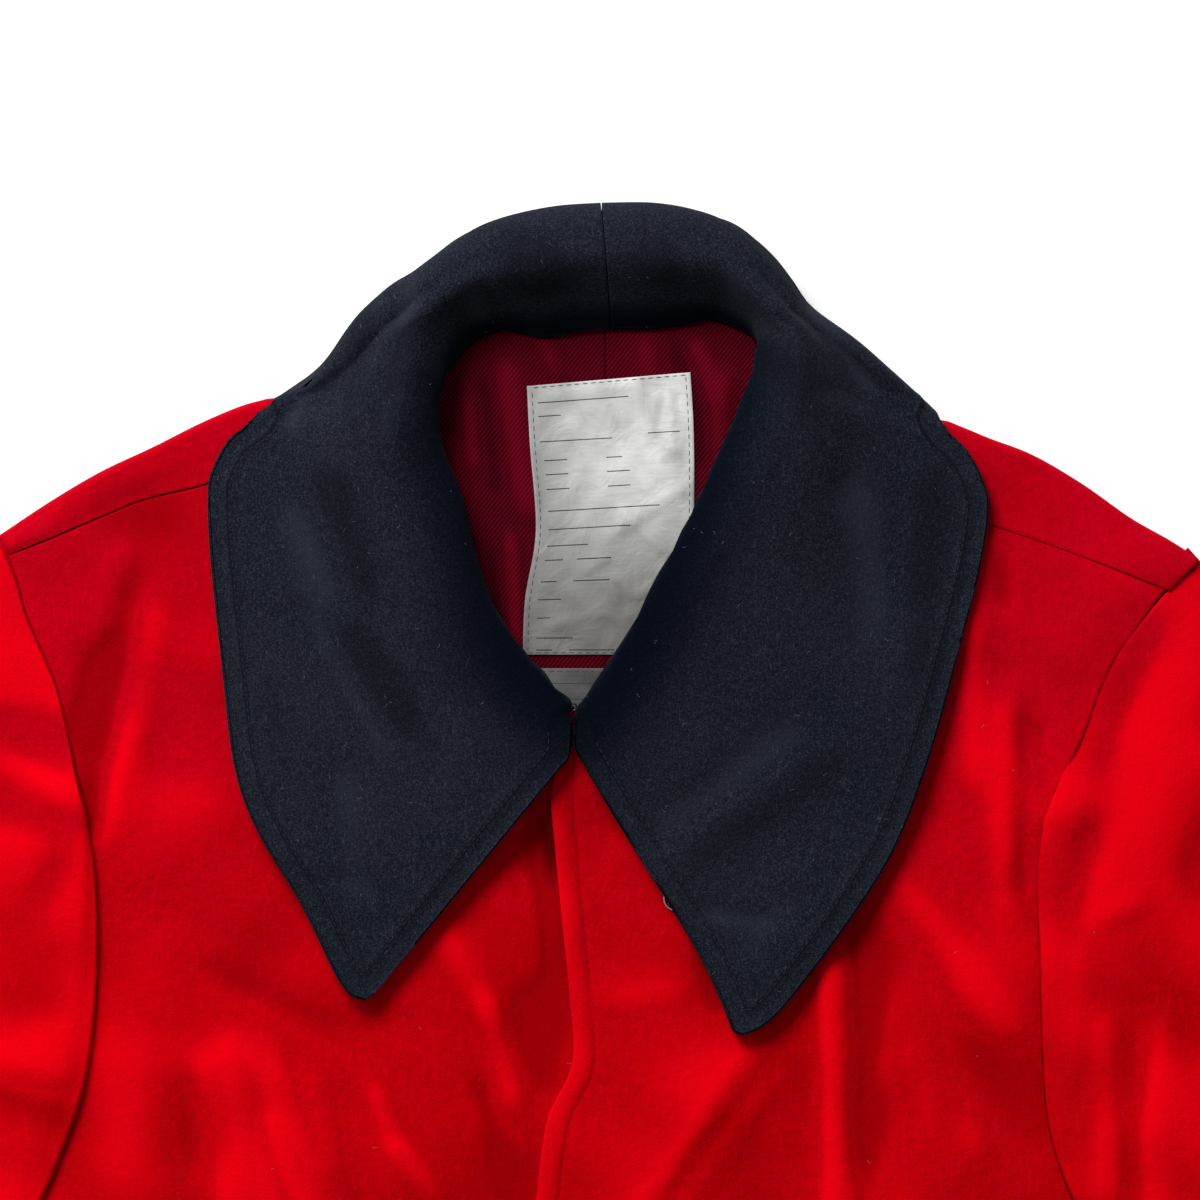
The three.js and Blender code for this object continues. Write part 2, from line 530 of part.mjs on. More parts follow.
// Collar: a row for each section, from the front end round to the centre back seam. Plan x and d of
// neck (where it is sewn on), wall (its inner face, halfway up), crest (with its height),
// fold (where the leaf turns down behind, in the rear rows) and edge (the leaf's outer edge).
// In front rows the leaf ends on the body, short of the fold by the length beyond, and its line
// bows sideways. In rear rows roll is how far the turned edge reaches, and turn is its height.
const FRONT_ROLL = 6.3;
const COLLAR = {
  right: {
    front: [
      // neck x, d, wall x, d, crest x, d, height, edge x, d, beyond, bow
      [-10, 184, -7.2, 168, -8, 187.5, 20, -93.5, 291.5, 34, 0],
      [-17, 174, -9, 160.5, -15, 174, 20.5, -98.5, 294, 34, 0],
      [-26.8, 162, -17.5, 151, -25, 160, 21.5, -108.5, 287, 34, 0],
      [-33, 153.5, -25, 144, -31.5, 152, 22.2, -125.7, 252.5, 34, 0],
      [-39.2, 145.4, -30, 137, -37.6, 144, 23, -144.5, 221, 34, 0],
      [-50.9, 129, -40.5, 121.5, -51, 129, 25.5, -155, 192.5, 34, 0],
      [-62.7, 105.8, -48, 100, -64.6, 106.6, 29, -160.4, 150, 34, 0],
      [-70.5, 79, -54.5, 74, -74, 78.6, 33, -165.4, 103, 34, 0],
      [-74, 58, -62, 55, -82, 58, 36.5, -166.8, 72, 26, 0],
      [-74.5, 47, -64.5, 46, -85, 47, 38.5, -164.3, 60, 18, 0],
      [-74, 38, -65, 38, -86.5, 38.5, 39.5, -158.6, 48, 12, 0],
      [-73, 31, -65, 31, -87.5, 30, 40.5, -149.6, 37.6, 6.3, 0],
    ],
    rear: [
      // neck x, d, height, wall x, d, crest x, d, height, fold x, d, edge x, d, roll, turn
      [-67, 22, 12.5, -64.8, 22, -87, 22, 41, -138.5, 31.6, -137, 42, 6.3, 16],
      [-60.5, 15.5, 10.4, -63.5, 13, -86, 12, 41, -116.7, 16.8, -118, 54, 9, 24],
      [-54.5, 8, 9.3, -60.5, 4, -82, 0, 41, -104.5, 0.6, -104, 62, 12, 30],
      [-47, 2.4, 9.3, -54, -5, -70, -10, 39.5, -86.7, -17, -82, 66, 13, 35],
      [-38, -1.2, 9.3, -43, -10, -54, -20, 38, -68.4, -30.6, -60, 67, 13, 36],
      [-28, 0.2, 9.3, -32, -11.5, -41, -25, 36.5, -51.3, -42.6, -44, 67, 15, 35],
      [-18.5, 2.4, 9.3, -21, -12, -27, -29, 35.5, -34.2, -49.2, -28, 66, 16, 34.5],
      [-4, 0, 9.3, -5.5, -13, -9, -31, 35, -13.8, -53.6, -12, 65, 16, 34],
      [10.4, -1.6, 9.3, 9.3, -13, 7.8, -32, 34.5, 5.8, -54.8, 4.8, 64, 16, 34],
    ],
  },
  left: {
    front: [
      [-2, 181, -5.8, 167, -6.3, 183, 20, 63.5, 308, 34, 5],
      [4.5, 173, -1, 160.5, 2, 173, 20.5, 75, 304.5, 34, 3.5],
      [11.3, 165, 4, 153, 10, 163, 21.5, 88.5, 292, 34, 2],
      [23, 147.7, 14, 137, 22, 146.5, 23, 115, 259, 34, 0],
      [35, 127.8, 24.5, 118, 35, 128, 25.5, 135.2, 226.5, 34, 0],
      [47, 107, 35.5, 98.5, 48.5, 108, 28.5, 150, 187, 34, 0],
      [59.8, 84.6, 46.5, 77, 62, 86, 32, 160.4, 150, 34, 0],
      [70.8, 62.8, 55.5, 57, 75, 64.5, 35, 171.3, 108, 30, 0],
      [79, 46, 63, 41, 84.5, 47, 38, 175.8, 79, 24, 0],
      [80.5, 37, 65.5, 34, 88, 39, 39, 173.2, 66, 18, 0],
      [80.5, 29, 69, 26, 90.5, 31, 40, 166.2, 52.6, 12, 0],
      [79.5, 22, 72, 19, 92, 25, 40.5, 156.5, 42.2, 6.3, 0],
    ],
    rear: [
      [79, 14.5, 12.5, 75, 12, 92.5, 16, 41, 144.4, 30.2, 146, 42, 6.3, 16],
      [77, 6.5, 10.4, 77, 4, 91, 3, 41, 121.8, 9.8, 128, 55, 9, 24],
      [72, 1, 9.3, 74, -5, 82, -8, 40.5, 95.4, -12, 104, 63, 11, 31],
      [64, -3, 9.3, 66, -11.5, 71, -19, 39.5, 79.8, -31, 84, 66, 12, 35],
      [54, -6, 9.3, 56, -15, 60, -28, 37.5, 64.8, -43.8, 64, 67, 14, 35.5],
      [42, -3.4, 9.3, 43, -14.5, 45.5, -31, 36, 48.3, -51.2, 46, 66, 16, 34.5],
      [26, -1.6, 9.3, 26.5, -13, 27.5, -32, 35, 29, -54.5, 25, 65, 16, 34],
      [10.9, -1.6, 9.3, 9.9, -13, 8.4, -32, 34.5, 6.4, -54.8, 5.4, 64, 16, 34],
    ],
  },
};
const COLLAR_CLEAR = 0.9;
const RING_PLACE = [38.5, 249.5];
const RING_LIFT = 1.4;
const RING_SPREAD = 22;

// Every row in one form, by name. under is the length of leaf past the fold, and is negative where
// the leaf stops short of it; out is the way the turned part runs beneath the back.
const NAMES = ["nx", "nd", "nz", "wx", "wd", "cx", "cd", "cz", "fx", "fd", "ox", "od", "under", "roll",
  "turn", "bow"];
const FRONT_TURN = 2 * FRONT_ROLL + COLLAR_WALL / 2;
function collarRows(side) {
  const half = COLLAR_WALL / 2;
  const front = COLLAR[side].front.map(([nx, nd, wx, wd, cx, cd, cz, ex, ed, beyond, bow]) => {
    const [ux, ud] = unit(ex - cx, ed - cd);
    const nz = bodyTop(nx, nd) + half + 2 * LAY_GAP;
    const under = -beyond - FRONT_ROLL * (Math.PI / 2 - 1);
    return [nx, nd, nz, wx + ux * half, wd + ud * half, cx, cd, cz, ex + ux * beyond, ed + ud * beyond,
      0, 1, under, FRONT_ROLL, FRONT_TURN, bow];
  });
  const rear = COLLAR[side].rear.map(([nx, nd, nz, wx, wd, cx, cd, cz, fx, fd, ex, ed, roll, turn]) => {
    const [ox, od] = unit(ex - fx, ed - fd);
    const under = Math.hypot(ex - fx, ed - fd) + roll * (Math.PI / 2 - 1);
    return [nx, nd, nz, wx, wd, cx, cd, cz, fx, fd, ox, od, under, roll, turn, 0];
  });
  return front.concat(rear);
}
const named = (row) => Object.fromEntries(NAMES.map((name, i) => [name, row[i]]));
// The leaf's path from the crest: over the body, round the fold, and flat beneath the back.
function leafPoint(row, length, whole) {
  const { cx, cd, cz, fx, fd, ox, od, roll, turn, bow } = row;
  const [ux, ud] = unit(fx - cx, fd - cd);
  const top = Math.hypot(fx - cx, fd - cd) - roll;
  const floor = COLLAR_WALL / 2;
  if (length <= top) {
    const aside = bow * Math.sin(Math.PI * (length / whole) ** 2);
    const [x, d] = [cx + ux * length + ud * aside, cd + ud * length - ux * aside];
    const nearRing = Math.exp(-(((x - RING_PLACE[0]) ** 2 + (d - RING_PLACE[1]) ** 2) / RING_SPREAD ** 2));
    const rest = bodyTop(x, d) + COLLAR_WALL / 2 + COLLAR_CLEAR + RING_LIFT * nearRing;
    const base = roll > FRONT_ROLL ? turn : Math.max(rest, turn);
    const fall = Math.exp(-((length / Math.max(top, 1) / 0.42) ** 2));
    return [x, d, base + Math.max(0, cz - base) * fall];
  }
  const half = (turn - floor) / 2;
  const around = (length - top) / ((roll + half) / 2);
  if (around <= Math.PI) {
    const share = roll * (1 - Math.sin(around));
    const back = around <= Math.PI / 2 ? [-ux, -ud] : [ox, od];
    return [fx + back[0] * share, fd + back[1] * share, floor + half * (1 + Math.cos(around))];
  }
  const along = roll + (around - Math.PI) * roll;
  return [fx + ox * along, fd + od * along, floor];
}
const LEAF_STEPS = 24;
const WALL_MIDWAY = 0.48;
const TURN_START = 4;
// One section of the collar, as a smooth line from the neck seam over the crest to the leaf's edge.
function collarSection(values) {
  const row = named(values);
  const half = (row.turn - COLLAR_WALL / 2) / 2;
  const arc = ((row.roll + half) / 2) * (Math.PI / 2);
  const whole = Math.hypot(row.fx - row.cx, row.fd - row.cd) - row.roll + arc + row.under;
  const points = [
    [row.nx, row.nd, row.nz],
    [row.wx, row.wd, lerp(row.nz, row.cz, WALL_MIDWAY)],
  ];
  for (let i = 0; i <= LEAF_STEPS; i++) points.push(leafPoint(row, (whole * i) / LEAF_STEPS, whole));
  const curve = new THREE.CatmullRomCurve3(points.map((p) => new THREE.Vector3(...p)));
  const length = curve.getLength();
  const turned = (arc + row.under + TURN_START) / length;
  const tail = Math.max(TAIL, turned);
  const fold = turned > TAIL ? Math.min(TAIL_FOLD, (TURN_START + arc) / (tail * length)) : TAIL_FOLD;
  const tailShares = [0, fold / 2, fold].concat(PAST_FOLD.map((share) => lerp(fold, 1, share)));
  return HEAD_SHARES.map((share) => share * (1 - tail))
    .concat(tailShares.map((share) => 1 - tail + share * tail))
    .map((share) => curve.getPointAt(share));
}
// Columns up to where the leaf starts to turn, as shares of that part. In the last part, the tail, one
// column lies where the leaf reaches furthest out. A leaf that does not turn has a tail of share TAIL.
const HEAD_SHARES = [0, 0.12, 0.24, 0.36, 0.48, 0.6, 0.72, 0.86];
const PAST_FOLD = [0.3, 0.65, 1];
const TAIL = 0.28;
const TAIL_FOLD = 0.4;
const COLLAR_ROW_STEPS = 2;
function collarSheet(side) {
  const sheet = new Sheet();
  const rows = collarRows(side);
  const count = (rows.length - 1) * COLLAR_ROW_STEPS;
  const lines = [];
  for (let r = 0; r <= count; r++) {
    const row = blendRows(rows, ((rows.length - 1) * r) / count);
    lines.push(collarSection(row).map((p) => sheet.point(p.x, p.y, p.z)));
  }
  if (side === "right") lines.forEach((line) => line.reverse());
  sheet.join(lines);
  return sheet;
}

// Lining at the back neck: a row for each section, with d of its middle, x of both sides.
const LINING_ROWS = [
  [6, -63, 72], [24, -68, 77], [50, -74, 76], [85, -68, 64], [115, -58, 50], [145, -44, 34], [178, -24, 16],
];
const LINING_COLUMNS = 8;
function neckSeamAt(x) {
  const i = clamp(BACK_NECK_SEAM.findIndex(([sx]) => sx > x), 1, BACK_NECK_SEAM.length - 1);
  const [[x0, d0], [x1, d1]] = BACK_NECK_SEAM.slice(i - 1, i + 1);
  return lerp(d0, d1, (x - x0) / (x1 - x0));
}
const liningMiddle = (x, d) => backMiddle(x, d) + MELTON / 2 + LAY_GAP + LINING_WALL / 2;
function liningSheet() {
  const sheet = new Sheet();
  sheet.grid(10, LINING_COLUMNS, (across, down) => {
    const [d, right, left] = blendRows(LINING_ROWS, down * (LINING_ROWS.length - 1));
    const x = lerp(right, left, across);
    const nearNeck = (1 - down) ** 6;
    const place = lerp(d, neckSeamAt(x) - 0.8, nearNeck);
    return [x, place, liningMiddle(x, place)];
  });
  return sheet;
}

// Labels: a row for each section, with x and d of both sides.
const LABEL_ROWS = {
  main: [[-26.8, 24.6, 45, 18.5], [-25.5, 50, 46.5, 46], [-22.9, 88, 46.5, 84], [-27.6, 118, 44.5, 116],
    [-28.6, 142.6, 43.5, 142.6]],
  care: [[-23.5, 148.5, 44, 148.5], [-22, 158, 36, 158], [-18, 166, 24, 166]],
};
function labelSheet(which) {
  const sheet = new Sheet();
  const rows = LABEL_ROWS[which];
  sheet.grid(2 * (rows.length - 1), 4, (across, down) => {
    const [x0, d0, x1, d1] = blendRows(rows, down * (rows.length - 1));
    const [x, d] = lerpAll([x0, d0], [x1, d1], across);
    return [x, d, liningMiddle(x, d) + LINING_WALL / 2 + SEAM_GAP + LABEL_WALL / 2];
  });
  return sheet;
}

// Small metal: the throat hook and eye, and a plain wire ring under the wearer's left leaf.
const wireRing = (radius, wire) => new THREE.TorusGeometry(radius, wire / 2, 8, 20);
function roundRod(line, radius, steps) {
  const sides = 8;
  const frames = line.computeFrenetFrames(steps);
  const corners = [];
  const triangles = [];
  for (let i = 0; i <= steps; i++) {
    const centre = line.getPointAt(i / steps);
    for (let k = 0; k < sides; k++) {
      const turn = (2 * Math.PI * k) / sides;
      const p = centre.clone()
        .addScaledVector(frames.normals[i], radius * Math.cos(turn))
        .addScaledVector(frames.binormals[i], radius * Math.sin(turn));
      corners.push(p.x, p.y, p.z);
      const next = (k + 1) % sides;
      const [a, b] = [i * sides + k, i * sides + next];
      if (i < steps) triangles.push(a, b, b + sides, a, b + sides, a + sides);
      if (k > 0 && k < sides - 1) {
        if (i === 0) triangles.push(0, next, k);
        if (i === steps) triangles.push(i * sides, a, b);
      }
    }
  }
  const geometry = new THREE.BufferGeometry();
  geometry.setAttribute("position", new THREE.Float32BufferAttribute(corners, 3));
  geometry.setIndex(triangles);
  return geometry;
}

const cloak = new THREE.Group();
cloak.name = "military_cloak";
function add(name, geometry, material) {
  const mesh = new THREE.Mesh(geometry, material);
  mesh.name = name;
  cloak.add(mesh);
  return mesh;
}
add("back", backSheet().wall(MELTON), SCARLET);
add("front_right", frontSheet("right").wall(MELTON), SCARLET);
add("front_left", frontSheet("left").wall(MELTON), SCARLET);
add("sleeve_right", sleeveSheet("right").wall(MELTON), SCARLET);
add("sleeve_left", sleeveSheet("left").wall(MELTON), SCARLET);
add("collar_right", collarSheet("right").wall(COLLAR_WALL), NAVY);
add("collar_left", collarSheet("left").wall(COLLAR_WALL), NAVY);
add("neck_lining", liningSheet().wall(LINING_WALL), TWILL);
add("label_main", labelSheet("main").wall(LABEL_WALL), LABEL);
add("label_care", labelSheet("care").wall(LABEL_WALL), LABEL);

const RING_WIRE = 1.1;
const [ringX, ringD] = RING_PLACE;
const ring = add("wire_ring", wireRing(5, RING_WIRE), WIRE);
ring.position.set(ringX, NECK_Y - ringD, bodyTop(ringX, ringD) + RING_WIRE / 2 + SEAM_GAP + 0.1);

// The hook lies through the eye in the throat of the collar, a little above the body's edges.
const HOOK_WIRE = 0.8;
const HOOK_PLACE = [-6.5, 165.4, 17];
const [hookX, hookD, hookZ] = HOOK_PLACE;
const eye = add("neck_eye", wireRing(1.5, HOOK_WIRE), BLACK_WIRE);
eye.position.set(hookX, NECK_Y - hookD, hookZ);
const hookLine = new THREE.CatmullRomCurve3([
  [-2.6, 0, 1.5], [-0.7, 0.1, 1.4], [0.1, 0.1, 0.4], [0, 0, -0.9], [-0.9, 0, -1.5], [-2.2, 0, -1.6],
].map((p) => new THREE.Vector3(...p)));
const hook = add("neck_hook", roundRod(hookLine, HOOK_WIRE / 2, 14), BLACK_WIRE);
hook.position.copy(eye.position);

export default cloak;
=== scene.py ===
# A sleeved military cloak laid flat, face up: finished pieces in place of its plain solids.
# Shapes are worked out in millimetres as x and d, where d is the distance down the coat from the back
# neck seam, and turned into metres when a mesh is made. +X is towards the wearer's left.
import math

import bpy
import numpy as np
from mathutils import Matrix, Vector
from mathutils.bvhtree import BVHTree


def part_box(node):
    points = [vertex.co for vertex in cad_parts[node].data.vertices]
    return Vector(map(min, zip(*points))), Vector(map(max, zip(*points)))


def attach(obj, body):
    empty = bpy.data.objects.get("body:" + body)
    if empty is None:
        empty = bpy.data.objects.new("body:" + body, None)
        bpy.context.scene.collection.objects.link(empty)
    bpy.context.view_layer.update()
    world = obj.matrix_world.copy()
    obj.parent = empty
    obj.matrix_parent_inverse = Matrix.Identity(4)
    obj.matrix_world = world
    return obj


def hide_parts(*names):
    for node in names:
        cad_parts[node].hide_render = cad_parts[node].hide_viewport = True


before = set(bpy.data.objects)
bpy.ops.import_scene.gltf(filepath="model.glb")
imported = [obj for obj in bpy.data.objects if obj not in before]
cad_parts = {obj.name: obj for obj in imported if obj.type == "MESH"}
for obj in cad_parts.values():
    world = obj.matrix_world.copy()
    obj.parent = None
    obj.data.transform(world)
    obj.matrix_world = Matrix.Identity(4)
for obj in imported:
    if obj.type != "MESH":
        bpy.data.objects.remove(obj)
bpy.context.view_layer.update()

# Driving sizes
BACK_LENGTH = 1300
NECK_Y = (BACK_LENGTH - 56) / 2
HEM_HALF_WIDTH = 585
HEM_RISE = 77
CHEST_HALF_WIDTH = 320
UNDERARM_D = 407
MELTON = 2.2
COLLAR_WALL = 4
LINING_WALL = 1.2
LABEL_WALL = 0.5
SEAM_GAP = 0.3
LAY_GAP = 0.4
FOLD_RADIUS = 2.4
LIFT_INSIDE = 2 * FOLD_RADIUS
LIFT_AT_EDGES = MELTON + LAY_GAP
LAP_STEP = MELTON + 2 * LAY_GAP
STITCH_INSET = 9.7


# Small helpers
def lerp(a, b, t):
    return a + (b - a) * t


def ease(low, high, v):
    t = np.clip((np.asarray(v, float) - low) / (high - low), 0, 1)
    return t * t * (3 - 2 * t)


def unit(x, d):
    length = math.hypot(x, d) or 1
    return x / length, d / length


def directions(ways):
    """Each way at length 1."""
    return ways / np.linalg.norm(ways, axis=-1)[..., None]


def running_length(points):
    """Length along a line of points, at each of them."""
    return np.concatenate([[0], np.cumsum(np.linalg.norm(np.diff(points, axis=0), axis=1))])


def centripetal(points, steps):
    """A smooth curve through the points, with that many steps between each two."""
    p = np.asarray(points, float)
    p = np.vstack([2 * p[0] - p[1], p, 2 * p[-1] - p[-2]])
    spans = np.maximum(np.linalg.norm(np.diff(p, axis=0), axis=1), 1e-6) ** 0.5
    t = (np.arange(steps) / steps)[:, None]
    found = []
    for i in range(1, len(p) - 2):
        a, b, c = spans[i - 1], spans[i], spans[i + 1]
        p0, p1, p2, p3 = p[i - 1], p[i], p[i + 1], p[i + 2]
        m1 = ((p1 - p0) / a - (p2 - p0) / (a + b) + (p2 - p1) / b) * b
        m2 = ((p2 - p1) / b - (p3 - p1) / (b + c) + (p3 - p2) / c) * b
        found.append(
            p1 * (2 * t**3 - 3 * t**2 + 1)
            + m1 * (t**3 - 2 * t**2 + t)
            + p2 * (3 * t**2 - 2 * t**3)
            + m2 * (t**3 - t**2)
        )
    found.append(p[-2][None, :])
    return np.vstack(found)


def track(points, steps=40):
    """The curve through the points, read by its share of length."""
    line = centripetal(points, steps)
    run = running_length(line)

    def at(share):
        where = np.clip(share, 0, 1) * run[-1]
        return np.stack([np.interp(where, run, line[:, k]) for k in range(line.shape[1])], axis=-1)

    at.length = run[-1]
    return at


def blend_rows(rows, at):
    """Rows of numbers blended smoothly, read at a row number that need not be whole."""
    rows = np.asarray(rows, float)
    last = len(rows) - 1
    i = int(min(max(math.floor(at), 0), last - 1))
    t = at - i
    p0, p1, p2, p3 = rows[max(i - 1, 0)], rows[i], rows[i + 1], rows[min(i + 2, last)]
    bend = 2 * p0 - 5 * p1 + 4 * p2 - p3
    twist = 3 * (p1 - p2) + p3 - p0
    return p1 + 0.5 * t * (p2 - p0 + t * (bend + t * twist))


def outside(x, d, box):
    """How far a point lies outside a box of the plan."""
    x0, x1, d0, d1 = box
    across = np.maximum(np.maximum(x0 - x, x - x1), 0)
    along = np.maximum(np.maximum(d0 - d, d - d1), 0)
    return np.hypot(across, along)


# Plan of the body, in x and d. Right and left are the wearer's.
SHOULDER_FOLD = {
    "right": [(-258.7, 90), (-236, 75), (-213.8, 62), (-191.4, 51.5), (-169, 40.3), (-152.6, 33.4),
              (-145, 31.2), (-137, 30), (-130, 35), (-124, 42), (-115, 40), (-97, 31), (-77, 17)],
    "left": [(268.4, 100.3), (256, 92.4), (239.2, 82.9), (216.7, 67.2), (194.3, 54.3), (176.4, 47.5),
             (163, 42), (156, 39.6), (150, 41), (141, 50), (120, 42), (102, 30), (86, 13)],
}
SHOULDER_SEAM = {
    "right": [(-254.4, 98.4), (-236.3, 91.3), (-213.8, 81.8), (-195.8, 74.5), (-166.8, 67.3), (-120, 50),
              (-71, 31)],
    "left": [(255.3, 114.5), (233.6, 105.9), (202, 94.2), (175, 85), (125, 66), (77, 45)],
}
BACK_NECK_SEAM = [(-77, 17), (-67, 17), (-56.5, 10), (-48, 4.6), (-37, 0.6), (-18.9, 4.4), (1, 0.2),
                  (27.3, 0.5), (40.5, -1.1), (51.5, -4.5), (64.7, -0.4), (75, 4.4), (86, 13)]
ARMHOLE = {
    "right": [(-258.7, 90), (-250.8, 108.7), (-246.5, 124.4), (-238.5, 143), (-233, 156.6), (-225, 191),
              (-219.8, 222), (-226, 240), (-237, 275), (-252, 318), (-271, 356), (-295, 386), (-320, 407)],
    "left": [(268.4, 100.6), (253.8, 114), (242.4, 129), (232.3, 143.4), (225.7, 157), (216.7, 180),
             (203.3, 209), (200.5, 222), (206, 238), (217, 266), (231, 304), (247, 340), (266, 368),
             (290, 391), (320, 407)],
}
# Shares of the armhole's length at which the sections of back, front and sleeve meet it.
STATIONS = {
    "right": [0.01, 0.027, 0.09, 0.15, 0.21, 0.27, 0.33, 0.375, 0.45, 0.53, 0.65, 0.78, 0.88, 0.95, 1],
    "left": [0.01, 0.052, 0.11, 0.17, 0.225, 0.28, 0.335, 0.385, 0.45, 0.53, 0.65, 0.78, 0.88, 0.95, 1],
}
LAP_STATION = 7
# Inner edge of each front at those sections, from the second one on: neckline, then front edge.
FRONT_ROWS = {
    "right": [(-71, 31), (-70.8, 52), (-66, 79), (-58, 108), (-43.5, 134), (-28, 155.5), (-13, 175),
              (-2, 190), (30, 205), (30, 245), (30, 290), (30, 330), (30, 360), (30, 390)],
    "left": [(77, 45), (63, 72), (49, 98), (34, 124), (20, 147), (6, 167), (-7, 182), (-15.9, 200),
             (-14.5, 227), (-11.4, 258.7), (-8, 293), (-7, 322), (-18, 347), (-22.7, 382)],
}
FRONT_EDGE_AT_HEM = {"right": 30, "left": -20}
UNDERLAP_EDGE = 30

# Folds of the fronts and skirt: x and d of both ends, half width, height (a trough is negative).
FOLDS = [
    (-198, 106, -219, 176, 10, -2.3),
    (-189, 116, -206, 217, 9, 2.4),
    (-214, 318, -130, 330, 13, 2.0),
    (-203, 322, -200, 392, 18, 2.6),
    (-152, 308, -136, 392, 24, 2.8),
    (-108, 330, -100, 392, 9, -2.0),
    (-64, 262, -42, 300, 8, 2.2),
    (108, 272, 111, 400, 7, 3.6),
    (121, 268, 123, 392, 9, -2.3),
    (10, 392, 70, 316, 14, 1.9),
    (50, 268, 57, 298, 8, -2.3),
    (136, 241, 186, 308, 9, 2.6),
    (150, 286, 186, 344, 12, -1.6),
    (168, 124, 172, 196, 9, 3.2),
    (185, 160, 184, 256, 8, 2.8),
    (-430, 830, -500, 1225, 36, 6),
    (-310, 640, -372, 1255, 34, 6.4),
    (-190, 700, -225, 1270, 36, 6.4),
    (-85, 620, -100, 1290, 30, 4.8),
    (80, 640, 92, 1290, 32, 5.2),
    (195, 680, 240, 1270, 36, 6.4),
    (300, 620, 368, 1255, 34, 6.8),
    (425, 840, 505, 1225, 36, 6),
]
# Finer creases, in the same columns.
CREASES = [
    (-214, 165, -218, 222, 6, -1.8),
    (-204, 94, -214, 134, 6, 1.4),
    (-199, 172, -212, 226, 5, 1.4),
    (-178, 276, -128, 298, 9, -1.4),
    (-126, 299, -70, 306, 9, -1.2),
    (-168, 318, -156, 388, 5, 1.4),
    (-140, 344, -120, 388, 4.5, 1.8),
    (-158, 312, -150, 392, 5, 1.3),
    (-147, 326, -130, 392, 4, -1.2),
    (-132, 318, -118, 362, 4, -1.2),
    (-178, 328, -173, 392, 6, -1.2),
    (-94, 332, -83, 362, 4.5, 2.0),
    (-83, 358, -64, 384, 4.5, 1.8),
    (-45, 292, -32, 338, 6, 2.8),
    (-48, 330, -31, 386, 5, -2.2),
    (-25, 200, -21, 232, 5, -2.0),
    (-21, 234, -16, 292, 5, -1.7),
    (-22, 294, -19, 334, 9, -2.3),
    (-23, 350, -27, 400, 4, -0.7),
    (4, 294, 42, 289, 7, 1.6),
    (22, 388, 67, 322, 5, 1.8),
    (40, 388, 82, 330, 5, 1.4),
    (104, 276, 108, 392, 4, 1.4),
    (126, 274, 127, 318, 8, -1.4),
    (148, 334, 150, 352, 7, 1.6),
    (167, 346, 170, 360, 6, 1.4),
    (192, 166, 190, 246, 5, -1.9),
    (199, 172, 200, 204, 5, -1.4),
    (180, 98, 182, 120, 6, -1.9),
]
SLEEVE_CREASES = [
    (-254, 140, -229, 162, 6, 2.6),
    (-264, 166, -232, 184, 7, -2.4),
    (-258, 190, -225, 203, 6, 3.0),
    (-264, 212, -230, 218, 7, -1.8),
    (-246, 262, -231, 231, 7, -2.2),
    (-264, 290, -228, 298, 10, -1.4),
    (-264, 320, -223, 328, 6, 3.0),
    (-264, 338, -226, 346, 8, -2.2),
    (-236, 368, -214, 374, 9, -2.4),
    (268, 120, 229, 262, 16, 3.6),
    (264, 186, 246, 256, 12, 2.4),
    (245, 128, 226, 190, 8, -2.0),
    (221, 214, 212, 250, 7, -2.4),
    (243, 251, 224, 260, 6, 2.0),
    (214, 270, 213, 330, 7, 1.4),
    (226, 300, 227, 378, 6, 2.2),
    (239, 310, 238, 392, 6, -2.0),
    (252, 300, 248, 392, 7, 2.4),
    (-300, 300, -330, 360, 14, 4),
    (-340, 420, -300, 450, 14, 3.6),
    (-420, 520, -380, 560, 15, 3.6),
    (310, 300, 340, 370, 14, 4),
    (350, 420, 305, 455, 14, 3.6),
    (430, 520, 385, 566, 15, 3.6),
]
COLLAR_CREASES = [
    (-75, -26, -88, 46, 6, 1.2),
    (-96, -10, -104, 40, 8, -1.5),
    (-131, 44, -122, 16, 5, 1.4),
    (-114, 58, -97, 112, 9, -1.7),
    (-132, 72, -112, 122, 9, 1.3),
    (-109, 124, -76, 174, 9, -1.7),
    (-120, 126, -90, 182, 7, 1.6),
    (-108, 190, -102, 244, 9, 1.2),
    (-142, 150, -134, 190, 9, -1.0),
    (36, 238, 102, 190, 11, -1.7),
    (28, 220, 92, 176, 10, 1.2),
    (93, -14, 122, 24, 6, 2.0),
    (86, 10, 106, 60, 9, -1.2),
    (112, 56, 130, 132, 12, 1.3),
    (150, 56, 142, 150, 11, -1.4),
    (50, 256, 78, 260, 4, 1.1),
    (64, 276, 92, 250, 7, 0.9),
    (-130, 241, -92, 246, 4, 0.9),
    (-32, -31, -16, -25, 9, -3.4),
    (22, -34, 34, -27, 10, -3.4),
    (-52, -20, -46, -6, 7, 1.6),
    (60, -26, 66, -10, 7, 1.4),
]


def crease_height(table, x, d):
    height = np.zeros_like(x)
    for x1, d1, x2, d2, half_width, rise in table:
        length = math.hypot(x2 - x1, d2 - d1)
        ux, ud = unit(x2 - x1, d2 - d1)
        along = (x - x1) * ux + (d - d1) * ud
        across = (x - x1) * ud - (d - d1) * ux
        start = ease(-1.5 * half_width, 1.5 * half_width, along)
        end = 1 - ease(length - half_width, length + 2 * half_width, along)
        height = height + rise * start * end * np.exp(-((across / half_width) ** 2))
    return height


# Slow waves that keep cloth from lying perfectly even: wavelength, direction in degrees, height, phase.
WAVES = [
    (118, 20, 0.9, 0.4),
    (83, 75, 0.6, 2.1),
    (61, 130, 0.42, 4.4),
    (47, 50, 0.3, 1.3),
    (33, 105, 0.16, 5.2),
]


